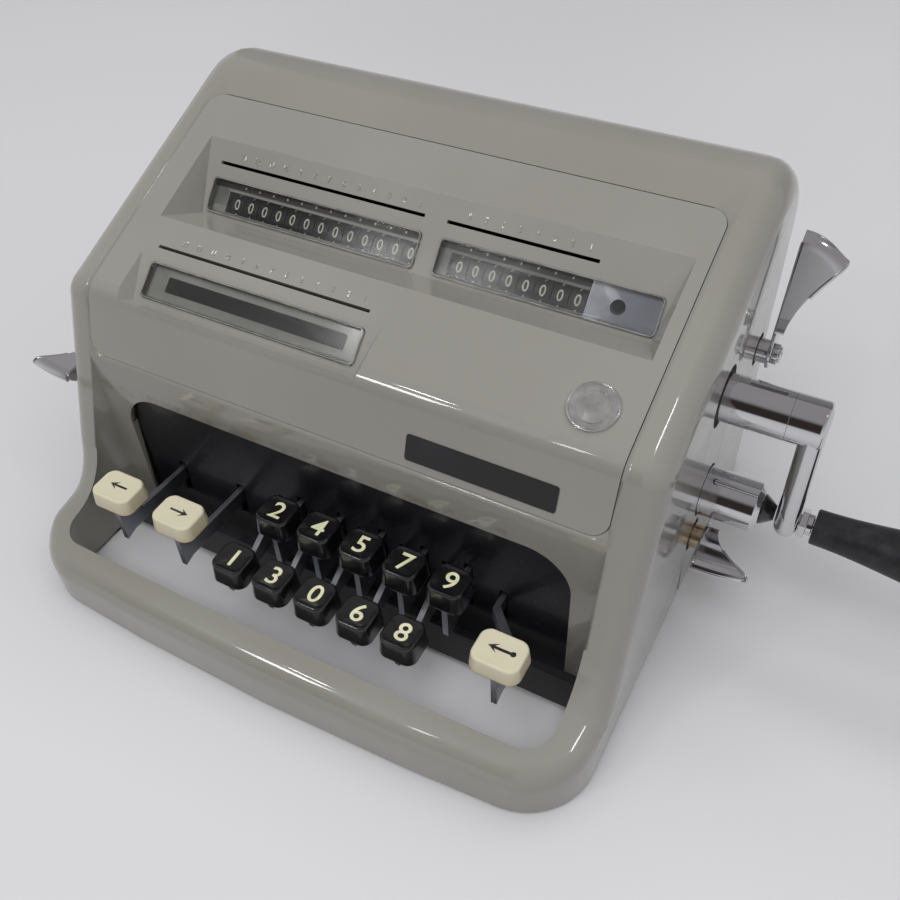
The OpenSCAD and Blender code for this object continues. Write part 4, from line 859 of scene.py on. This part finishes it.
HEAD_LONG, HEAD_HALF, INK_THICK = 0.0032, 0.0019, 0.0002


def arrow(length, dotted):
    """An arrow that points to the left, with a round end where dotted."""
    stem = 0.00052 if dotted else 0.00044
    tip = -length / 2
    barb, neck = tip + HEAD_LONG * 1.15, tip + HEAD_LONG * 0.72
    data = slab([(tip, 0), (barb, HEAD_HALF), (neck, stem), (length / 2, stem), (length / 2, -stem),
                 (neck, -stem), (barb, -HEAD_HALF)], 0.0, INK_THICK)
    if not dotted:
        return data
    knob = lathe(((0, INK_THICK), (0.00105, INK_THICK), (0.00105, 0.0)), 20)
    return gather(((data, Matrix.Identity(4)), (knob, moved(length / 2))))


key_ink = mottled("key_figures", (0.60, 0.60, 0.38), (0.72, 0.70, 0.50), (400, 2.0, 0.35, 0.75),
                  Roughness=0.4)
arrow_ink = mottled("arrow_ink", (0.012, 0.011, 0.010), (0.06, 0.05, 0.04), (400, 2.0, 0.4, 0.8),
                    Roughness=0.35)
KEY_FIGURE = dict(height=0.0078, thick=INK_THICK, bold=0.0001, wide=1.06)
ARROW_LONG, DOTTED_LONG, INK_OVER, INK_UNDER = 0.0082, 0.0094, 0.00012, -0.0002
for key in key_names:
    low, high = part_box("cap_" + key)
    cream = len(key) > 1
    form = CREAM_CAP if cream else BLACK_CAP
    where = Matrix.Translation(((low.x + high.x) / 2, (low.y + high.y) / 2, low.z))
    shell, dished = cap_surface(**form)
    shell.transform(where)
    settle(f"key_{key}_cap", shell, cream_plastic if cream else black_plastic, "key_" + key,
           50, replaced=("cap_" + key,))
    if cream:
        mark = arrow(DOTTED_LONG if key == "return" else ARROW_LONG, key == "return")
        mark.transform(moved(0.0, 0.0006) @ turned(math.pi if key == "right" else 0.0, "Z"))
    else:
        mark = lettering(key, **KEY_FIGURE)
        mark.transform(moved(0.0002, 0.0002))
    for v in mark.vertices:
        v.co.z = dished(v.co.x, v.co.y) + (INK_OVER if v.co.z > 0 else INK_UNDER)
    mark.transform(where)
    settle(f"key_{key}_sign", mark, arrow_ink if cream else key_ink, "key_" + key,
           50)

# Crank. A polished plated tube with a key slot, and on it a forged arm with a round eye for
# the handle. A hex nut and a brass ferrule stand between the eye and the handle.

CHROME, CHROME_PIT = (0.68, 0.68, 0.695), (0.28, 0.23, 0.19)
chrome = Finish("chrome", Metallic=1.0)
wiped = chrome.noise(35, 3.0, 0.6).ramp(0.45, 0.75)
fine = chrome.noise(1400, 2.0, stretch=(0.08, 1, 1)).ramp(0.45, 0.8)
pitted = chrome.noise(700, 2.0).ramp(0.72, 0.78) * chrome.noise(40, 2.0).ramp(0.5, 0.7)
chrome.feed(Base_Color=chrome.blend(pitted * 0.6, CHROME, CHROME_PIT),
            Roughness=wiped * 0.07 + fine * 0.05 + 0.05)
brass = mottled("brass", (0.62, 0.50, 0.34), (0.40, 0.30, 0.19), (200, 3.0, 0.35, 0.7), (300, 2.0, 0.2, 0.16),
                Metallic=1.0)
ferrule_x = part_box("crank_grip")[0].x - 0.0024


def on_ferrule(face):
    return face.calc_center_median().x > ferrule_x


skin("crank_tube", chrome, bevel=0.0003)
skin("grip_spindle", (chrome, brass), bevel=0.0002, second=on_ferrule)
low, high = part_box("crank_arm")
BOSS_R, BOSS_LONG, BOSS_EDGE, EYE_R = 0.009, 0.0125, 0.0016, 0.0075
# the bar is a little smaller than the boss and lies under its end
ARM_T, ARM_EDGE, UNDER = 0.0086, 0.0041, 0.0003
axis_y, axis_z, eye_z = (low.y + high.y) / 2, high.z - BOSS_R, low.z + EYE_R


def arm_outline(inset):
    """Round both ends, from the crank's axis down to the eye's."""
    lean = math.asin((BOSS_R - EYE_R) / (axis_z - eye_z))
    ends = ((0.0, BOSS_R - UNDER, -lean, math.pi + lean),
            (eye_z - axis_z, EYE_R, math.pi + lean, math.tau - lean))
    return [((r - inset) * math.cos(a), z + (r - inset) * math.sin(a))
            for z, r, start, end in ends for a in np.linspace(start, end, 26)]


rings = []
for a in np.radians(range(0, 181, 15)):
    x = ARM_EDGE * (1 - math.cos(a)) + (ARM_T - 2 * ARM_EDGE) * (a > 1.58)
    rings.append([(x, y, z) for y, z in arm_outline(ARM_EDGE * (1 - math.sin(a)))])
bar = loft(rings)
rounding = [(BOSS_R - BOSS_EDGE * (1 - math.sin(a)), BOSS_LONG - BOSS_EDGE * (1 - math.cos(a)))
            for a in np.radians(range(0, 91, 18))]
boss = lathe([(0.0, BOSS_LONG)] + rounding + [(BOSS_R, 0.0002), (BOSS_R - 0.0002, 0.0), (0.0, 0.0)], 72)
arm = gather(((bar, moved(high.x - UNDER - ARM_T, axis_y, axis_z)),
              (boss, moved(low.x, axis_y, axis_z) @ turned(math.pi / 2, "Y"))))
settle("crank_casting", arm, chrome, "crank", 40, replaced=("crank_arm",))

# Crank rest. A plated tube with a sprung plunger in it. The handle's arm stands against the
# plunger's cone, which is moulded in black plastic.

skin("rest_tube", chrome, bevel=0.0003)
skin("rest_tip", black_plastic, bevel=0.0003)

# Handle. Turned in one piece and dull black, thin at the ferrule and growing to a rounded end.
# It spins on the spindle that is screwed through the eye of the arm.

GRIP_THIN, GRIP_EDGE, GRIP_SWELL = 0.0069, 0.0008, 0.72
GRIP_DARK, GRIP_WORN = (0.011, 0.011, 0.013), (0.030, 0.029, 0.031)
grip_black = Finish("grip_black", Specular_IOR_Level=0.4)
turned_lines = grip_black.noise(500, 2.0, stretch=(1, 0.1, 0.1))
palm = grip_black.noise(120, 4.0, 0.6).ramp(0.4, 0.75)
grip_black.feed(Base_Color=grip_black.blend(palm, GRIP_DARK, GRIP_WORN), Roughness=turned_lines * 0.12 + 0.40)
grip_black.bumps(turned_lines, 0.00003)
low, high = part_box("crank_grip")
long, thick = high.x - low.x, (high.y - low.y) / 2
swell = long * GRIP_SWELL
line = [(0.0, 0.0), (GRIP_THIN - GRIP_EDGE, 0.0), (GRIP_THIN - 0.0002, 0.0002), (GRIP_THIN, GRIP_EDGE)]
line += [(GRIP_THIN + (thick - GRIP_THIN) * (1 - math.cos(math.pi * t)) / 2, GRIP_EDGE + t * swell)
         for t in np.linspace(0, 1, 25)[1:]]
line += [(thick * math.cos(a), swell + GRIP_EDGE + (long - swell - GRIP_EDGE) * math.sin(a))
         for a in np.radians(range(6, 85, 6))] + [(0.0, long)]
handle = lathe(line, 72)
handle.transform(moved(low.x, (low.y + high.y) / 2, (low.z + high.z) / 2) @ turned(math.pi / 2, "Y"))
settle("handle", handle, grip_black, "grip", 40, replaced=("crank_grip",))

# Clearing levers. Pressed from sheet and plated: an upright leaf on a hub, and a wing bent out
# of it for the finger, that widens and is curled over at its end. A slotted screw holds each.

LEAF_THICK, WING_THICK, WING_BEAD = 0.0015, 0.0012, 0.0009
# the wing's free corner is rounded over its last fifth, by a quarter of its spread
WING_CORNER, CORNER_CUT = 0.20, 0.24


def pressed(points, faces, thick):
    """Sheet metal of a given thickness over these faces, its edges broken."""
    data = bpy.data.meshes.new("sheet")
    data.from_pydata(points, [], faces)
    thing = bpy.data.objects.new("sheet", data)
    scene.collection.objects.link(thing)
    sheet = thing.modifiers.new("sheet", "SOLIDIFY")
    sheet.thickness, sheet.offset, sheet.use_even_offset = thick, 0.0, True
    edge = thing.modifiers.new("edge", "BEVEL")
    edge.width, edge.segments, edge.angle_limit = thick * 0.28, 2, math.radians(50)
    return take(thing)


def wing(start, end, root, spread, arch, lip, turn, power, sweep=0.0):
    """From the leaf outwards (X) and along the lever (Y), its last part curled by turn and its
    free edge rolled into a bead."""
    rows, columns = 36, 20
    points = []
    for s in np.linspace(0, 1, rows):
        for t in np.linspace(0, 1, columns):
            reach = end - arch * t * t
            along = start + (reach - start) * s
            a = max(0.0, along - reach + lip) / lip * turn
            r = lip / abs(turn)
            corner = max(0.0, s - (1 - WING_CORNER)) / WING_CORNER
            cut = 1 - CORNER_CUT + CORNER_CUT * math.sqrt(max(0.0, 1 - corner * corner))
            out = t * (root + (spread - root) * s ** power) * cut
            points.append((out, min(along, reach - lip) + r * math.sin(abs(a)),
                           math.copysign(r * (1 - math.cos(a)), turn) + sweep * out))
    corners = [i * columns + j for i in range(rows - 1) for j in range(columns - 1)]
    sheet = pressed(points, [(c, c + 1, c + columns + 1, c + columns) for c in corners], WING_THICK)
    edge = points[columns * (rows // 2) - 1::columns] + points[columns * (rows - 1):-1][::-1]
    rolled = bead.grow(thread(edge), chrome, Radius=WING_BEAD)
    return gather(((sheet, Matrix.Identity(4)), (rolled, Matrix.Identity(4))))


def leaf(line, hub_r):
    """A flat plate in the plane of Y and Z: a round end on the hub, then this outline."""
    start, end = (math.atan2(z, y) for y, z in (line[-1], line[0]))
    if end < start:
        end += math.tau
    points = [(0, *p) for p in line] + [(0, hub_r * math.cos(a), hub_r * math.sin(a))
                                        for a in np.linspace(start, end, 28)]
    return pressed(points, [tuple(range(len(points)))], LEAF_THICK)


def slotted_screw(r, tall, slot_wide):
    """A domed screw head with a slot, its foot at the origin, facing Z."""
    dome = [(r * math.sin(a), tall * 0.45 + tall * 0.55 * math.cos(a)) for a in np.radians(range(0, 91, 10))]
    thing = bpy.data.objects.new("screw", lathe(dome + [(r, 0.0), (0.0, 0.0)], 40))
    tool = slab(rounded_outline(3 * r, slot_wide, 0.0001, 2), tall * 0.45, tall * 2)
    cutter = bpy.data.objects.new("slot", tool)
    for each in (thing, cutter):
        scene.collection.objects.link(each)
    slot = thing.modifiers.new("slot", "BOOLEAN")
    slot.object, slot.operation = cutter, "DIFFERENCE"
    data = take(thing)
    bpy.data.objects.remove(cutter)
    return data


# the leaf's outline from its hub, along the lever (Y) and outwards (Z), and how its wing is bent
UPPER_LEAF = ((0.0, -0.0065), (0.0455, -0.0043), (0.0455, 0.0066), (0.0, 0.0065))
LOWER_LEAF = ((0.0, -0.0070), (0.0186, -0.0066), (0.0186, -0.0030), (0.0165, -0.0008), (0.0, 0.0070))
UPPER_WING = dict(start=0.0095, end=0.0500, root=0.0035, spread=0.0205, arch=0.0070, lip=0.0060,
                  turn=-1.05, power=1.7, sweep=-0.14)
LOWER_WING = dict(start=-0.0010, end=0.0205, root=0.0050, spread=0.0250, arch=0.0020, lip=0.0042,
                  turn=1.30, power=2.1)
WING_AT = 0.0063
for side, hand, stand, line, hub_r, form, wing_z in (
        ("upper", 1, math.radians(67), UPPER_LEAF, 0.0065, UPPER_WING, WING_AT),
        ("lower", 1, math.pi, LOWER_LEAF, 0.0070, LOWER_WING, -WING_AT),
        ("left", -1, math.pi, LOWER_LEAF, 0.0070, LOWER_WING, -WING_AT)):
    hub_low, hub_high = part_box(side + "_hub")
    low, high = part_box(side + "_lever")
    inner, outer = (low.x, hub_high.x) if hand > 0 else (high.x, hub_low.x)
    y, z = (hub_low.y + hub_high.y) / 2, (hub_low.z + hub_high.z) / 2
    lever_frame = moved(0, y, z) @ Matrix.Diagonal((hand, 1, 1, 1)) @ turned(stand)
    parts = ((wing(**form), moved(inner + hand * 0.0004) @ lever_frame @ moved(z=wing_z)),
             (leaf(line, hub_r), moved(inner + hand * LEAF_THICK / 2) @ lever_frame))
    settle(side + "_clearing_lever", gather(parts), chrome, side + "_lever", 40,
           replaced=(side + "_lever",))
    skin(side + "_hub", brass if side == "lower" else chrome, bevel=0.0003)
    screw = slotted_screw(0.0033, 0.0014, 0.0009)
    screw.transform(moved(outer - hand * 0.0001, y, z) @ turned(hand * math.pi / 2, "Y") @ turned(0.6, "Z"))
    settle(side + "_screw", screw, chrome, side + "_lever", 40)

# Inside and underneath. Bare steel frame, shafts, pinwheel rotor, base plate and its screws,
# and four rubber feet, all as the CAD has them.

RUBBER_BLACK, RUBBER_GREY = (0.012, 0.012, 0.012), (0.035, 0.034, 0.032)
rubber = Finish("rubber", Specular_IOR_Level=0.25)
rubber.feed(Base_Color=rubber.blend(rubber.noise(400, 3.0), RUBBER_BLACK, RUBBER_GREY),
            Roughness=rubber.noise(900, 2.0) * 0.2 + 0.65)
for node in ("frame", "key_shaft", "wheel_shaft", "rotor", "base_plate", "base_screws"):
    skin(node, steel, bevel=0.0002)
skin("feet", rubber, bevel=0.0005)
